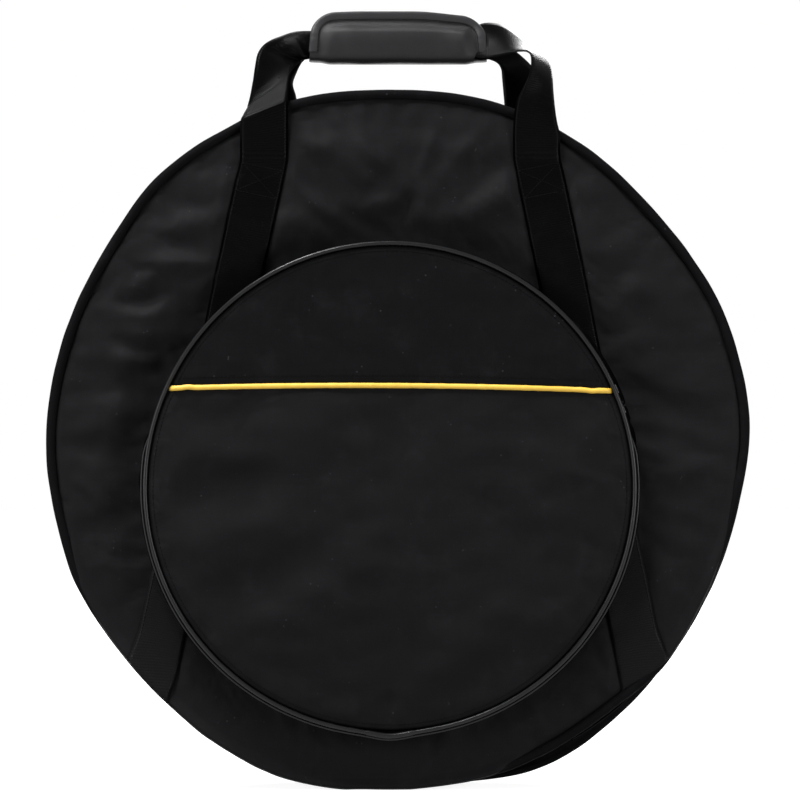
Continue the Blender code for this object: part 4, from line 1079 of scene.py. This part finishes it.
# The handles' free webbing, from one strap's top over the bag to the other's: pixel and depth of
# its outer edge, pixel and depth of its inner edge, thickness and how far its middle bows out
FRONT_HANDLE = (
    (240, 150, 36.0, 288, 150, 36.0, 2, 0), (240, 136, 37.5, 288, 130, 37.5, 2, 0),
    (240.5, 121, 38.4, 288, 103, 38.4, 2, 0), (243, 115, 34.8, 288.5, 95, 34.5, 2, 0),
    (246, 109.5, 30.6, 289.5, 87, 29, 2, 0), (249, 104, 26.8, 290.5, 79, 22.5, 2, 0),
    (251, 94, 24.8, 292, 72, 18, 2, 0.3), (253, 80, 23.6, 295, 67.5, 13.5, 2, 0.3), (255, 66, 21, 297.5, 64.5, 9.4, 2, 0),
    (257.5, 54, 17, 299.5, 62.5, 6, 2, -0.6), (263, 45.5, 12, 301, 61, 4, 2, -1.8),
    (271, 40, 5, 302, 60.5, 6, 2.1, 0.8), (281, 36, -3, 303.5, 60, 9, 2.3, 4.2), (291, 32.5, -5, 306, 59.5, 9, 2.6, 4.2),
    (302, 31, 0, 312, 58.5, 4.5, 3.2, 1.2), (325, 31, 2.5, 325, 56, 2.5, 4.2, 0), (398, 31, 2.5, 398, 56, 2.5, 4.2, 0),
    (452, 31, 2.5, 452, 56, 2.5, 4.2, 0), (470, 28, 0.5, 468, 57.5, 6, 3.4, 0.8), (484, 23, -4, 481, 60, 13, 2.4, 0.8),
    (497, 23.5, -7, 493, 58.5, 18, 2, 0.8), (507, 28, -8, 504, 55.5, 22, 2, 0.8), (517, 35.5, -8, 513, 53, 26, 2, 0.6),
    (526, 43, -6, 520, 51.6, 30, 2, 0.5), (535, 50, -2, 526, 51.2, 34, 2, 0.4), (544.5, 57, 5, 530, 54.5, 38, 2, 0.2),
    (550.5, 65.5, 13, 531, 63, 40.5, 2, 0), (552.6, 77, 22, 529, 74, 40.5, 2, 0), (553.6, 92, 31, 523, 87, 40, 2, 0),
    (555, 107, 37, 517, 100, 39, 2, 0.2), (557, 121, 38.5, 514, 115, 38.5, 2, 0.2), (560, 135, 37.5, 513, 133, 37.5, 2, 0),
    (560, 150, 36.0, 513, 150, 36.0, 2, 0),
)
REAR_HANDLE = (
    (243, 150, 37.0, 290, 150, 37.0, 2, 0), (243, 136, 37.5, 291, 135, 37.5, 2, 0),
    (245, 120, 38.5, 294, 120, 38.5, 2, 0), (247, 108, 37.5, 297, 106, 37, 2, 0.5),
    (250, 96, 33, 296, 96, 32, 2, 1), (253, 80, 26, 293, 84, 23, 2, 1), (257, 62, 19, 297, 72, 12, 2, 0.6),
    (262, 50, 13, 301, 64, 6.5, 2, -0.5), (273, 42, 9, 304, 60.5, 4, 2.2, -0.5),
    (288, 36, 6, 306, 59, 3, 3, 0.5), (304, 32, 4, 312, 58, 2.5, 4, 0.5), (325, 31, 2.5, 325, 56, 2.5, 4.2, 0),
    (398, 31, 2.5, 398, 56, 2.5, 4.2, 0), (465, 31, 2.5, 465, 56, 2.5, 4.2, 0),
    (484, 34, 3.5, 479, 57.5, 2.5, 4, 0.5), (498, 40, 6, 489, 59.5, 4, 3, 0.8), (514, 50, 10, 497, 63, 7, 2.2, 0.8),
    (528, 62, 17, 501, 69, 12, 2, 0.5), (538, 74, 24, 502, 78, 20, 2, 0), (545, 88, 30, 503, 89, 28, 2, 0),
    (549, 100, 35, 504, 100, 34, 2, 0.3), (552, 113, 38, 505, 112, 37.5, 2, 0), (555, 126, 38.5, 508, 125, 38.5, 2, 0),
    (556, 138, 37.5, 510, 138, 37.5, 2, 0), (557, 150, 37.0, 511, 150, 37.0, 2, 0),
)


def webbing_handle(side, name, rows, carrier, *nodes):
    """One length of webbing: sewn up one side of a panel, over the bag as a handle, and down again."""
    left_line, right_line = strap_lines(side)
    loops, runs = strap_loops(side, left_line, -1)
    middle, middle_runs = free_loops(side, rows)
    up_loops, up_runs = strap_loops(side, right_line, 1)
    step = 0.004
    runs = list(runs) + [runs[-1] + step + r for r in middle_runs]
    down_runs = [runs[-1] + step + up_runs[-1] - r for r in up_runs[::-1]]
    # On the right leg the outer edge comes first too, so the loops run on without a twist
    loops = list(loops) + list(middle) + list(up_loops[::-1])
    item = ribbon(name, loops, runs + down_runs, STRAP_WEB)
    return settle(item, "webbing", carrier, *nodes)


def strap_stitching(side, name, carrier):
    """Thread along both edges of the sewn straps, and the crossed box at their tops."""
    rows = []
    outward = np.array([0, side, 0.0])
    for (tx, tz), (fx, fz) in strap_lines(side):
        length = math.hypot(fx - tx, fz - tz)
        ux, uz = (fx - tx) / length, (fz - tz) / length
        px, pz = -uz, ux

        def on_strap(along, across):
            along, across = np.asarray(along, float), np.asarray(across, float)
            x, z = tx + ux * along + px * across, tz + uz * along + pz * across
            base = panel_depth(side, x, z)
            return spot(side, x, z, base + WEBBING + 0.0003)

        edge = WEBBING_WIDTH / 2 - 0.0028
        far = np.linspace(0.006, length - 0.014, 120)
        rows.append(stitch_row(name, on_strap(far, edge + 0 * far), outward, THREAD))
        rows.append(stitch_row(name, on_strap(far, -edge + 0 * far), outward, THREAD))
        box_end = 0.030
        cross = np.linspace(0, 1, 20)
        for a, b in (((0.006, -edge), (0.006, edge)), ((box_end, -edge), (box_end, edge)),
                     ((0.006, -edge), (box_end, edge)), ((0.006, edge), (box_end, -edge))):
            row = on_strap(a[0] + (b[0] - a[0]) * cross, a[1] + (b[1] - a[1]) * cross)
            rows.append(stitch_row(name, row, outward, THREAD, pitch=0.0026))
    return settle(stitching(name, rows, THREAD), "webbing", carrier)


# The pocket

def accent_line(x):
    """Height of the yellow piping, which sinks a little towards its ends."""
    share = (x - POCKET_X) / 0.186
    return ACCENT_Z - 0.0035 * share**2 - 0.0011 * share


def pocket_held(x, z):
    """Where the pocket's face is sewn: round its edge and along the accent piping."""
    radius = polar(x, z, (POCKET_X, POCKET_Z))[1]
    edge = 1 - smooth((POCKET_FACE_R - radius - 0.003) / 0.004)
    return np.maximum(edge, 1 - smooth((np.abs(z - accent_line(x)) - 0.002) / 0.004))


def pocket_depth(x, z):
    """Depth of the pocket's face, with the folds that its simulation gave it."""
    above = smooth((z - accent_line(x)) / 0.004)
    return formed_pocket(x, z) + (1 - 0.6 * above) * sampled(POCKET_EASE, *np.broadcast_arrays(x, z))


def formed_pocket(x, z):
    """Depth of the pocket's face before its simulation, with its broad soft folds."""
    turn, radius = polar(x, z, (POCKET_X, POCKET_Z))
    share = np.clip(radius / POCKET_FACE_R, 0, 1)
    edge = np.maximum(POCKET_FACE_R - radius, 0)
    sag = np.clip((POCKET_Z - z) / POCKET_FACE_R, -1, 1)
    crown = POCKET_CROWN * (1 - share**2.6) * (0.72 + 0.62 * sag - 0.34 * sag**2)
    tuck = 1 - np.exp(-edge / 0.0035)
    folds = POCKET_FOLD_STRENGTH * fold_sum(x, z, POCKET_FOLDS)
    broad = swell(x, z, 0.13, 81, stretch=1.4)
    fine = swell(x, z, 0.05, 82, stretch=1.8)
    pucker = bell(edge - 0.007, 0.008) * swell(turn * POCKET_FACE_R, share * 0.1, 0.024, 83)
    above = smooth((z - accent_line(x)) / 0.004)
    soft = smooth(edge / 0.035)
    lift = soft * (folds + 0.0011 * broad + 0.0005 * fine) * (1 - 0.7 * above) + 0.0005 * pucker
    return POCKET_FACE - 0.0026 + 0.0026 * tuck + crown * tuck + lift * tuck


POCKET_FOLDS = (
    (152, 503, 228, 489, 312, 474, 10, -1.5), (160, 542, 240, 533, 345, 500, 13, 1.2), (190, 604, 262, 584, 350, 525, 10, -1.6),
    (240, 618, 330, 582, 410, 512, 12, 1.2), (230, 640, 300, 683, 378, 702, 7, -1.5), (424, 702, 500, 681, 570, 636, 7, -1.5),
    (404, 708, 468, 642, 545, 586, 10, 1.5), (520, 590, 568, 626, 602, 616, 8, 1.3), (460, 484, 512, 532, 550, 548, 10, -1.4),
    (552, 468, 590, 478, 620, 483, 3, 0.7), (566, 538, 600, 548, 624, 553, 3, -0.8), (574, 577, 594, 588, 612, 593, 3, -0.9),
    (156, 448, 212, 459, 280, 440, 8, 1.1), (160, 420, 222, 415, 306, 404, 8, -1.0), (520, 480, 570, 456, 612, 420, 8, 0.9),
    (389, 724, 389, 708, 390, 684, 3, -1.6), (170, 600, 205, 622, 250, 650, 9, 0.7), (330, 560, 372, 620, 386, 690, 10, -0.8),
)


POCKET_EASE = eased(
    formed_pocket, pocket_held, (POCKET_X, POCKET_Z), lambda turn: POCKET_FACE_R + 0 * turn, 0.008, 0.8, 0.0012,
)


def pocket_cloth(name, above, carrier, *nodes):
    """The pocket's face, above or below the accent piping."""
    u, share = np.meshgrid(np.linspace(-1, 1, 231), np.linspace(0, 1, 71 if above else 161), indexing="xy")
    if above:
        reach = math.sqrt(POCKET_FACE_R**2 - (ACCENT_Z - POCKET_Z) ** 2)
        x = POCKET_X + u * (reach + 0.0008)
        chord = np.sqrt(np.maximum(POCKET_FACE_R**2 - (x - POCKET_X) ** 2, 0))
        low = np.minimum(accent_line(x) + 0.0008, POCKET_Z + chord)
        z = low + (POCKET_Z + chord - low) * share
    else:
        x = POCKET_X + POCKET_FACE_R * np.sin(u * math.pi / 2)
        chord = np.sqrt(np.maximum(POCKET_FACE_R**2 - (x - POCKET_X) ** 2, 0))
        high = np.minimum(accent_line(x) - 0.0008, POCKET_Z + chord)
        z = POCKET_Z - chord + (high - POCKET_Z + chord) * share
    line = accent_line(x)
    depth = pocket_depth(x, z)
    near = np.abs(z - line)
    depth = depth - 0.0022 * np.exp(-near / (0.0030 if above else 0.0045))
    item = grid_piece(name, spot(FRONT, x, z, depth), POCKET_TOP_SHADED_CLOTH if above else POCKET_CLOTH, outward=(0, -1, 0),
                      uv=np.stack([x, z], -1))
    thicken(item, 0.0012)
    return settle(item, "shell_cloth", carrier, *nodes)


def accent_piping():
    """The yellow piping across the pocket."""
    x = np.linspace(at(171, 0)[0], at(610, 0)[0], 260)
    z = accent_line(x)
    kinks = 0.0007 * bell(x - at(190, 0)[0], 0.003) - 0.0006 * bell(x - at(590, 0)[0], 0.003)
    depth = pocket_depth(x, z) + 0.0006 + 0.0002 * swell(x, 0 * x, 0.02, 91)
    ends = smooth(np.minimum(x - x[0], x[-1] - x) / 0.004)
    depth = depth - 0.002 * (1 - ends)
    centres = spot(FRONT, x, z + kinks, depth)
    sides = np.tile([0, 0, 1.0], (len(x), 1))
    ups = np.tile([0, -1.0, 0], (len(x), 1))
    swelling = 1 + 0.03 * swell(x, 0 * x, 0.012, 92)
    section = oval(ACCENT_RADIUS, ACCENT_RADIUS, 14)[None] * swelling[:, None, None]
    item = swept("accent_piping", centres, sides, ups, section, YELLOW_PIPING)
    return settle(item, "yellow_piping", "pocket_flap", "pocket_accent_piping")


def pocket_piping():
    """The glossy piping round the pocket, spliced at its lowest point."""
    turn = ring_turns(560)
    low = bell((turn - math.pi) * POCKET_PIPING_R, 0.012)
    radius = POCKET_PIPING_R + 0.0026 * low
    centres = round_spot(FRONT, turn, radius, POCKET_PIPING_DEPTH, (POCKET_X, POCKET_Z))
    outwards = np.stack([np.sin(turn), 0 * turn, np.cos(turn)], -1)
    faces = np.tile([0, -1.0, 0], (len(turn), 1))
    splice = 1 + 0.22 * (np.abs((turn - math.pi) * POCKET_PIPING_R) < 0.019)
    swelling = splice + 0.03 * swell(turn * POCKET_PIPING_R, 0 * turn, 0.02, 93)
    section = oval(POCKET_PIPING, POCKET_PIPING, 12)[None] * swelling[:, None, None]
    item = swept("pocket_piping", centres, outwards, faces, section, GLOSSY_PIPING, closed=True)
    settle(item, "black_piping", POCKET_FOLD, "pocket_upper_piping", "pocket_lower_piping")
    # Below the zip's ends its seam allowance shows as a second, thinner bead
    turn = np.linspace(POCKET_ARC + 0.04, math.tau - POCKET_ARC - 0.04, 420)
    share = np.clip(np.minimum(turn - turn[0], turn[-1] - turn) / 0.12, 0, 1)
    radius = POCKET_PIPING_R + 0.0008 + 0.0026 * bell((turn - math.pi) * POCKET_PIPING_R, 0.012) + 0.0024 * smooth(share)
    centres = round_spot(FRONT, turn, radius, POCKET_PIPING_DEPTH - 0.0026, (POCKET_X, POCKET_Z))
    outwards = np.stack([np.sin(turn), 0 * turn, np.cos(turn)], -1)
    section = oval(0.0011, 0.0011, 10)[None] * (0.6 + 0.4 * smooth(share))[:, None, None]
    bead = swept("pocket_piping_seam", centres, outwards, np.tile([0, -1.0, 0], (len(turn), 1)), section, GLOSSY_PIPING)
    return settle(bead, "black_piping", "front_cover")




def pocket_slot(turn):
    """Half of the pocket's zip slot, closed below the zip's ends."""
    away = np.abs((turn + math.pi) % math.tau - math.pi)
    return 0.0002 + (POCKET_SLOT - 0.0002) * (1 - smooth((away - POCKET_ARC) / 0.05))


def pocket_side(name, part, carrier, *nodes):
    """The pocket's side wall: its half at the panel (-1) or at the face (1), with its hem at the zip."""
    turn = ring_turns(540)
    slot = pocket_slot(turn)[None]
    share = np.linspace(0, 1, 9)[:, None]
    if part < 0:
        x, z = POCKET_X + POCKET_WALL * np.sin(turn), POCKET_Z + POCKET_WALL * np.cos(turn)
        start = (panel_depth(FRONT, x, z) + 0.0002)[None]
        start = start + (WEBBING + 0.0003) * (strap_press(FRONT, x, z) > 0.5)[None]
        ends = POCKET_ZIP_DEPTH - slot
    else:
        start = POCKET_PIPING_DEPTH - 0.0022 + 0 * slot
        ends = POCKET_ZIP_DEPTH + slot
    depth = start + (ends - start) * share
    arc = turn[None] * POCKET_WALL
    ripples = np.sin(math.pi * share) * (0.0005 + 0.0007 * swell(arc, share * 0.01, 0.028, 95 + part))
    # Painted shade: on the right the wall's foot flares out, so that its near-black cloth shows as a dark band beside
    # the ring where shadow falls
    gap = bell(turn - 1.30, 0.42)[None]
    flare = ((0.0028 + 0.0036 * gap) if part < 0 else 0.0012) * (1 - share) ** 3
    radius = POCKET_WALL + ripples + flare * (1 if part < 0 else -1)
    # Below the zip the whole wall bellies out past the piping
    away = np.abs((turn + math.pi) % math.tau - math.pi)
    belly = 0.0048 * smooth((away - POCKET_ARC - 0.02) / 0.10)[None]
    radius = radius + belly * np.sin(share * math.pi / 2)
    radius = np.concatenate([radius, POCKET_WALL - np.array([[0.0007], [0.0010], [0.0010]]) + belly])
    depth = np.concatenate([depth, ends - part * np.array([[0.0001], [-0.0005], [-0.0030]])])
    points = round_spot(FRONT, turn[None], radius, depth, (POCKET_X, POCKET_Z))
    outwards = np.stack([np.sin(turn), 0 * turn, np.cos(turn)], -1)[None].repeat(len(radius), 0)
    item = thicken(grid_piece(name, points, POCKET_SIDE_SHADE_CLOTH, closed_cols=True, outward=outwards), 0.0007)
    return settle(item, "shell_cloth", carrier, *nodes)


def pocket_stitching():
    """Topstitching along the pocket's seams."""
    rows = []
    outward = np.array([0, -1.0, 0])
    turn = np.linspace(0.002, math.tau - 0.002, 500)
    radius = POCKET_FACE_R - 0.0042
    x, z = POCKET_X + radius * np.sin(turn), POCKET_Z + radius * np.cos(turn)
    rows.append(stitch_row("", spot(FRONT, x, z, pocket_depth(x, z) + 0.0002), outward, THREAD, pitch=0.0034))
    ring = stitching("pocket_seam_stitching", rows, THREAD)
    settle(ring, "shell_cloth", POCKET_FOLD)
    x = np.linspace(at(180, 0)[0], at(605, 0)[0], 200)
    z = accent_line(x) + at(0, 374)[1] - at(0, 384)[1]
    line = stitch_row("", spot(FRONT, x, z, pocket_depth(x, z) + 0.0002), outward, THREAD, pitch=0.0034)
    settle(stitching("accent_stitching", [line], THREAD), "shell_cloth", "pocket_flap")


# The grip wrap. Its panels follow paths of depth and height, in millimetres

FLAP_PATH = (
    (-9.0, 613.2), (-6.0, 612.9), (0.0, 612.8), (5.0, 613.1), (7.6, 614.6), (8.4, 618.0), (8.2, 624.0),
    (7.4, 630.0), (5.9, 636.0), (4.2, 641.0), (3.0, 646.0), (2.6, 650.0), (2.5, 653.0),
)
PAD_PATH = (
    (6.9, 616.2), (7.4, 619.0), (7.5, 625.0), (6.9, 631.0), (5.4, 637.0), (3.8, 642.0), (2.8, 647.0),
    (2.5, 650.0), (2.5, 653.0),
)
WRAP_RISE = 0.0032
WRAP_HALF = 0.0756
WRAP_TAPER = 0.003
WRAP_DROOP = 0.0045
WRAP_CORNER = 0.019
WRAP_WALL = 0.0038
BINDING_HALF = 0.0042


def wrap_frames(side, path):
    """Points along a wrap panel, with its run and outward normals, in Y and Z."""
    way = catmull(path, 6) / 1000
    way[:, 1] += WRAP_RISE
    y = MID_Y + side * way[:, 0]
    run = np.concatenate([[0.0], np.cumsum(np.hypot(np.diff(y), np.diff(way[:, 1])))])
    dy, dz = np.gradient(y), np.gradient(way[:, 1])
    size = np.hypot(dy, dz)
    return run, y, way[:, 1], dz / size * side, -dy / size * side


def wrap_droop(x):
    """How far the wrap's top has sunk towards its ends."""
    return WRAP_DROOP * smooth((x - 0.012) / 0.06) + 0.25 * WRAP_DROOP * smooth((-x - 0.03) / 0.04)


def wrap_spot(frames, x, run, lift):
    """A point on a wrap panel: its X, its run along the panel and its lift off the middle."""
    runs, y, z, ny, nz = frames
    a = [np.interp(run, runs, values) for values in (y, z, ny, nz)]
    droop = wrap_droop(x) * smooth((run / runs[-1] - 0.3) / 0.7)
    return np.stack(np.broadcast_arrays(x, a[0] + a[2] * lift, a[1] + a[3] * lift - droop), -1)


def wrap_half(run, length):
    """Half of the panel's width at a place along it, drawn in round the upper corners."""
    left = np.clip(length - run, 0, WRAP_CORNER)
    return WRAP_HALF - WRAP_CORNER - WRAP_TAPER * smooth(run / length) + np.sqrt(np.maximum(WRAP_CORNER**2 - (WRAP_CORNER - left) ** 2, 0))


def wrap_panel(side, name, path, carrier, *nodes):
    """A padded panel of the grip wrap, thin at its bound edges."""
    frames = wrap_frames(side, path)
    length = frames[0][-1]
    run = np.concatenate([np.linspace(0, length - WRAP_CORNER, 26)[:-1],
                          length - WRAP_CORNER * np.cos(np.linspace(0, 1, 12) * math.pi / 2)])
    angle = np.arange(132) * math.tau / 132
    c, s = np.cos(angle), np.sin(angle)
    x = np.sign(c) * np.abs(c) ** 0.32
    lift = np.sign(s) * np.abs(s) ** 0.32
    half = wrap_half(run, length)[:, None]
    x = x[None] * half
    inset = np.minimum(half - np.abs(x), (length - run)[:, None])
    soft = smooth((inset - 0.0072) / 0.012) * smooth((run[:, None] + 0.004) / 0.010)
    crease = swell(x, run[:, None], 0.030, 101 + side, stretch=0.6)
    swollen = (0.0015 * soft + 0.0017 * bell(run[:, None] / length - 0.56, 0.2) * soft + 0.0008 * crease * soft * smooth(run[:, None] / 0.03))
    swollen = swollen * (lift[None] > 0)
    points = wrap_spot(frames, x, run[:, None], lift[None] * WRAP_WALL / 2 + swollen)
    item = tidy_closed(grid_piece(name, points, WRAP_TOP_LIT_CLOTH, closed_cols=True))
    return settle(item, "shell_cloth", carrier, *nodes), frames


def wrap_edge(frames, start):
    """The free edge of a wrap panel in X and run, with the direction inwards."""
    length = frames[0][-1]
    corner = length - WRAP_CORNER
    rows = [(-wrap_half(run, length), run, 1, 0) for run in np.linspace(start, corner, 18)[:-1]]
    for angle in np.linspace(0, math.pi / 2, 14):
        run = corner + WRAP_CORNER * math.sin(angle)
        rows.append((-wrap_half(run, length), run, math.cos(angle), -math.sin(angle)))
    flat = [(x, length, 0, -1) for x in np.linspace(rows[-1][0], 0, 26)[1:]]
    rows = np.array(rows + flat)
    back = rows[::-1][1:].copy()
    back[:, 0] *= -1
    back[:, 2] *= -1
    return np.concatenate([rows, back])


def wrap_binding(side, name, frames, start, carrier, node):
    """The tape bound over the panel's free edges, and its stitching."""
    edge = wrap_edge(frames, start)
    angle = np.arange(22) * math.tau / 22
    c, s = np.cos(angle), np.sin(angle)
    inset = BINDING_HALF - 0.0010 + BINDING_HALF * np.sign(c) * np.abs(c) ** 0.75
    lift = (WRAP_WALL / 2 + 0.0011) * np.sign(s) * np.abs(s) ** 0.55
    uneven = 1 + 0.05 * swell(np.arange(len(edge)) * 0.003, 0 * edge[:, 0], 0.02, 111 + side)
    x = edge[:, :1] + edge[:, 2:3] * inset[None]
    run = edge[:, 1:2] + edge[:, 3:4] * inset[None]
    top = frames[0][-1]
    over = np.maximum(run - top, 0)
    points = wrap_spot(frames, x, np.minimum(run, top), lift[None] * uneven[:, None])
    points[..., 2] += over
    item = tidy_closed(grid_piece(name, points, BINDING_TOP_LIT_TAPE, closed_cols=True))
    settle(item, "webbing", carrier, node)
    inset = 2 * BINDING_HALF - 0.0020
    x, run = edge[:, 0] + edge[:, 2] * inset, edge[:, 1] + edge[:, 3] * inset
    path = wrap_spot(frames, x, run, WRAP_WALL / 2 + 0.0010)
    outward = np.tile([0, side, 0.0], (len(path), 1))
    line = stitch_row("", path, outward, THREAD, pitch=0.0028)
    settle(stitching(name + "_stitching", [line], THREAD), "webbing", carrier)


def closure(side, name, near, carrier, node):
    """One strip of the hook-and-loop closure, with its rough face."""
    low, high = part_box(node)
    u, v = np.meshgrid(np.linspace(-1, 1, 180), np.linspace(-1, 1, 26), indexing="xy")
    x = (low.x + high.x) / 2 + u * (high.x - low.x) / 2
    z = (low.z + high.z) / 2 + v * (high.z - low.z) / 2 + WRAP_RISE - 0.0006 - wrap_droop(x)
    draw = np.random.default_rng(121 + side)
    tufts = draw.uniform(0, 1, u.shape) * (np.abs(u) < 0.99) * (np.abs(v) < 0.94)
    depth = near + 0.00045 - 0.0004 * tufts
    item = grid_piece(name, spot(side, x, z, depth), HOOKS, outward=(0, -side, 0))
    thicken(item, 0.0007)
    return settle(item, "hook_and_loop", carrier, node)


# The whole bag

def front_cover_pieces():
    panel_cloth(FRONT, "front_panel_cloth", COVER_FOLD, "front_panel", "front_lower_panel",
                "front_panel_foam", "front_lower_panel_foam")
    edge_piping(FRONT, "front_piping", COVER_FOLD, "front_edge_piping", "front_lower_piping")
    gusset_half(FRONT, "front_gusset_cloth", COVER_FOLD, "front_gusset", "front_gusset_foam")
    lining_disc(FRONT, "front_panel_liner", COVER_FOLD, "front_panel_lining", "front_lower_panel_lining")
    gusset_lining(FRONT, "front_gusset_liner", COVER_FOLD, "front_gusset_lining")


def rear_shell_pieces():
    panel_cloth(REAR, "rear_panel_cloth", "rear_shell", "rear_panel", "rear_panel_foam")
    edge_piping(REAR, "rear_piping", "rear_shell", "rear_edge_piping")
    gusset_half(REAR, "rear_gusset_cloth", "rear_shell", "rear_gusset", "rear_gusset_foam",
                "lower_gusset", "lower_gusset_foam")
    lining_disc(REAR, "rear_panel_liner", "rear_shell", "rear_panel_lining")
    gusset_lining(REAR, "rear_gusset_liner", "rear_shell", "rear_gusset_lining", "lower_gusset_lining")


def main_zip():
    turns = np.linspace(-SLOT_END - 0.01, SLOT_END + 0.01, 500)
    for side, word, carrier in ((FRONT, "front", COVER_FOLD), (REAR, "rear", "rear_shell")):
        zip_ring(side, word + "_tape", TAPE, TAPE_R, 0.0022, 0.0185, turns, (0, CENTRE_Z), carrier,
                 word + "_zip_tape")
        coil(side, word + "_coil", CHAIN_R + 0.0004, 0.00245, 0.0022, 0.0010, 0.0024, 0.0 if side > 0 else 0.5,
             -SLOT_END, SLOT_END, (0, CENTRE_Z), carrier, word + "_zip_coil")


def pocket_zip():
    turns = np.linspace(-POCKET_ARC - 0.01, POCKET_ARC + 0.01, 300)
    for part, word, carrier in ((-1, "rear", "front_cover"), (1, "front", POCKET_FOLD)):
        near = POCKET_ZIP_DEPTH + part * 0.0018
        zip_ring(FRONT, "pocket_" + word + "_tape", TAPE, POCKET_TAPE_R, near, POCKET_ZIP_DEPTH + part * 0.0100,
                 turns, (POCKET_X, POCKET_Z), carrier, "pocket_" + word + "_zip_tape")
        coil(FRONT, "pocket_" + word + "_coil", POCKET_TAPE_R + 0.0001, POCKET_ZIP_DEPTH + part * 0.0018, 0.0014,
             0.0007, 0.0018, 0.25 + part * 0.25, -POCKET_ARC, POCKET_ARC, (POCKET_X, POCKET_Z), carrier,
             "pocket_" + word + "_zip_coil")


def sliders():
    """The sliders and pulls keep the frame's own shapes."""
    for word in ("left", "right", "pocket"):
        for part in ("_slider", "_pull"):
            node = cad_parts[word + part]
            node.data.materials.clear()
            node.data.materials.append(SLIDER_METAL)


def pocket():
    pocket_cloth("pocket_lower_cloth", False, POCKET_FOLD, "pocket_lower_face", "pocket_middle_face")
    pocket_cloth("pocket_upper_cloth", True, "pocket_flap", "pocket_upper_face")
    accent_piping()
    pocket_piping()
    pocket_side("pocket_rear_side", -1, "front_cover", "pocket_rear_gusset", "pocket_lower_gusset")
    pocket_side("pocket_front_side", 1, POCKET_FOLD, "pocket_front_gusset")
    pocket_zip()
    pocket_stitching()


def handles_and_wrap():
    webbing_handle(FRONT, "front_webbing", FRONT_HANDLE, FRONT_HANDLE_BEND,
                   "front_handle", "front_left_strap", "front_right_strap")
    webbing_handle(REAR, "rear_webbing", REAR_HANDLE, REAR_HANDLE_BEND,
                   "rear_handle", "rear_left_strap", "rear_right_strap")
    strap_stitching(FRONT, "front_strap_stitching", "front_cover")
    strap_stitching(REAR, "rear_strap_stitching", "rear_shell")
    _, flap = wrap_panel(FRONT, "grip_flap_pad", FLAP_PATH, WRAP_FOLD, "grip_flap")
    wrap_binding(FRONT, "flap_binding", flap, 0.0215, "grip_flap_body", "grip_flap_binding")
    _, pad = wrap_panel(REAR, "grip_rear_pad", PAD_PATH, "rear_handle_body", "grip_back_pad")
    wrap_binding(REAR, "rear_pad_binding", pad, 0.0, "rear_handle_body", "grip_back_binding")
    closure(FRONT, "hook_strip", 0.0003, "grip_flap_body", "grip_hook_strip")
    closure(REAR, "loop_strip", 0.0003, "rear_handle_body", "grip_loop_strip")


# Light, floor and camera

def camera():
    view = bpy.data.cameras.new("camera")
    view.sensor_width = SENSOR
    view.lens = SENSOR * CAMERA_DISTANCE / (PHOTO_SIZE * PIXEL)
    item = bpy.data.objects.new("camera", view)
    x, z = at(PHOTO_SIZE / 2, PHOTO_SIZE / 2)
    item.location = (x, FRONT_PLANE_Y - CAMERA_DISTANCE, z)
    item.rotation_euler = (math.pi / 2, 0, 0)
    bpy.context.scene.collection.objects.link(item)
    bpy.context.scene.camera = item


def shown_white(tree):
    """1 for rays that show the background: camera, mirror and clear ones."""
    t = Tree(tree)
    path = t.add("LightPath")
    seen = t.math("MAXIMUM", path.outputs["Is Camera Ray"], path.outputs["Is Glossy Ray"])
    return t, t.math("MAXIMUM", seen, path.outputs["Is Transmission Ray"])


def surroundings():
    world = bpy.data.worlds.new("studio")
    world.use_nodes = True
    bpy.context.scene.world = world
    t, shown = shown_white(world.node_tree)
    background = world.node_tree.nodes["Background"]
    t.join(t.blend(shown, 0.14, 1.0), background.inputs["Strength"])
    background.inputs["Color"].default_value = (1, 1, 1, 1)

    half = 8.0
    mesh = bpy.data.meshes.new("floor")
    mesh.from_pydata([(-half, -half, 0), (half, -half, 0), (half, half, 0), (-half, half, 0)], [], [(0, 1, 2, 3)])
    floor = bpy.data.objects.new("floor", mesh)
    bpy.context.scene.collection.objects.link(floor)
    finish = bpy.data.materials.new("pale floor")
    finish.use_nodes = True
    tree = finish.node_tree
    tree.nodes.clear()
    t, shown = shown_white(tree)
    plain = t.add("BsdfDiffuse")
    plain.inputs["Color"].default_value = (0.28, 0.28, 0.28, 1)
    lit = t.add("BsdfDiffuse")
    lit.inputs["Color"].default_value = (0.45, 0.45, 0.45, 1)
    glow = t.add("Emission")
    glow.inputs["Strength"].default_value = 0.90
    both = t.add("AddShader")
    t.join(lit.outputs[0], both.inputs[0])
    t.join(glow.outputs[0], both.inputs[1])
    pick = t.add("MixShader")
    t.join(shown, pick.inputs[0])
    t.join(plain.outputs[0], pick.inputs[1])
    t.join(both.outputs[0], pick.inputs[2])
    t.join(pick.outputs[0], t.add("OutputMaterial").inputs[0])
    mesh.materials.append(finish)


# Lamps: name, place, size and power
LAMPS = (
    ("key", (-1.3, -1.85, 4.45), 1.15, 205),
    ("left", (-1.7, -1.25, 0.55), 1.0, 22),
    ("right", (1.7, -1.25, 0.45), 1.0, 29),
    ("top", (-1.15, -0.3, 2.9), 0.55, 90),
    ("rear", (0.5, 2.6, 1.8), 1.6, 75),
)


def lamps():
    for name, place, size, power in LAMPS:
        data = bpy.data.lights.new(name, "AREA")
        data.shape = "SQUARE"
        data.size = size
        data.energy = power
        item = bpy.data.objects.new(name, data)
        item.location = place
        item.rotation_euler = (Vector((0, 0, 0.33)) - Vector(place)).to_track_quat("-Z", "Y").to_euler()
        bpy.context.scene.collection.objects.link(item)


camera()
surroundings()
lamps()
rear_shell_pieces()
front_cover_pieces()
main_zip()
pocket()
handles_and_wrap()
sliders()
bpy.context.scene.view_settings.view_transform = "Standard"
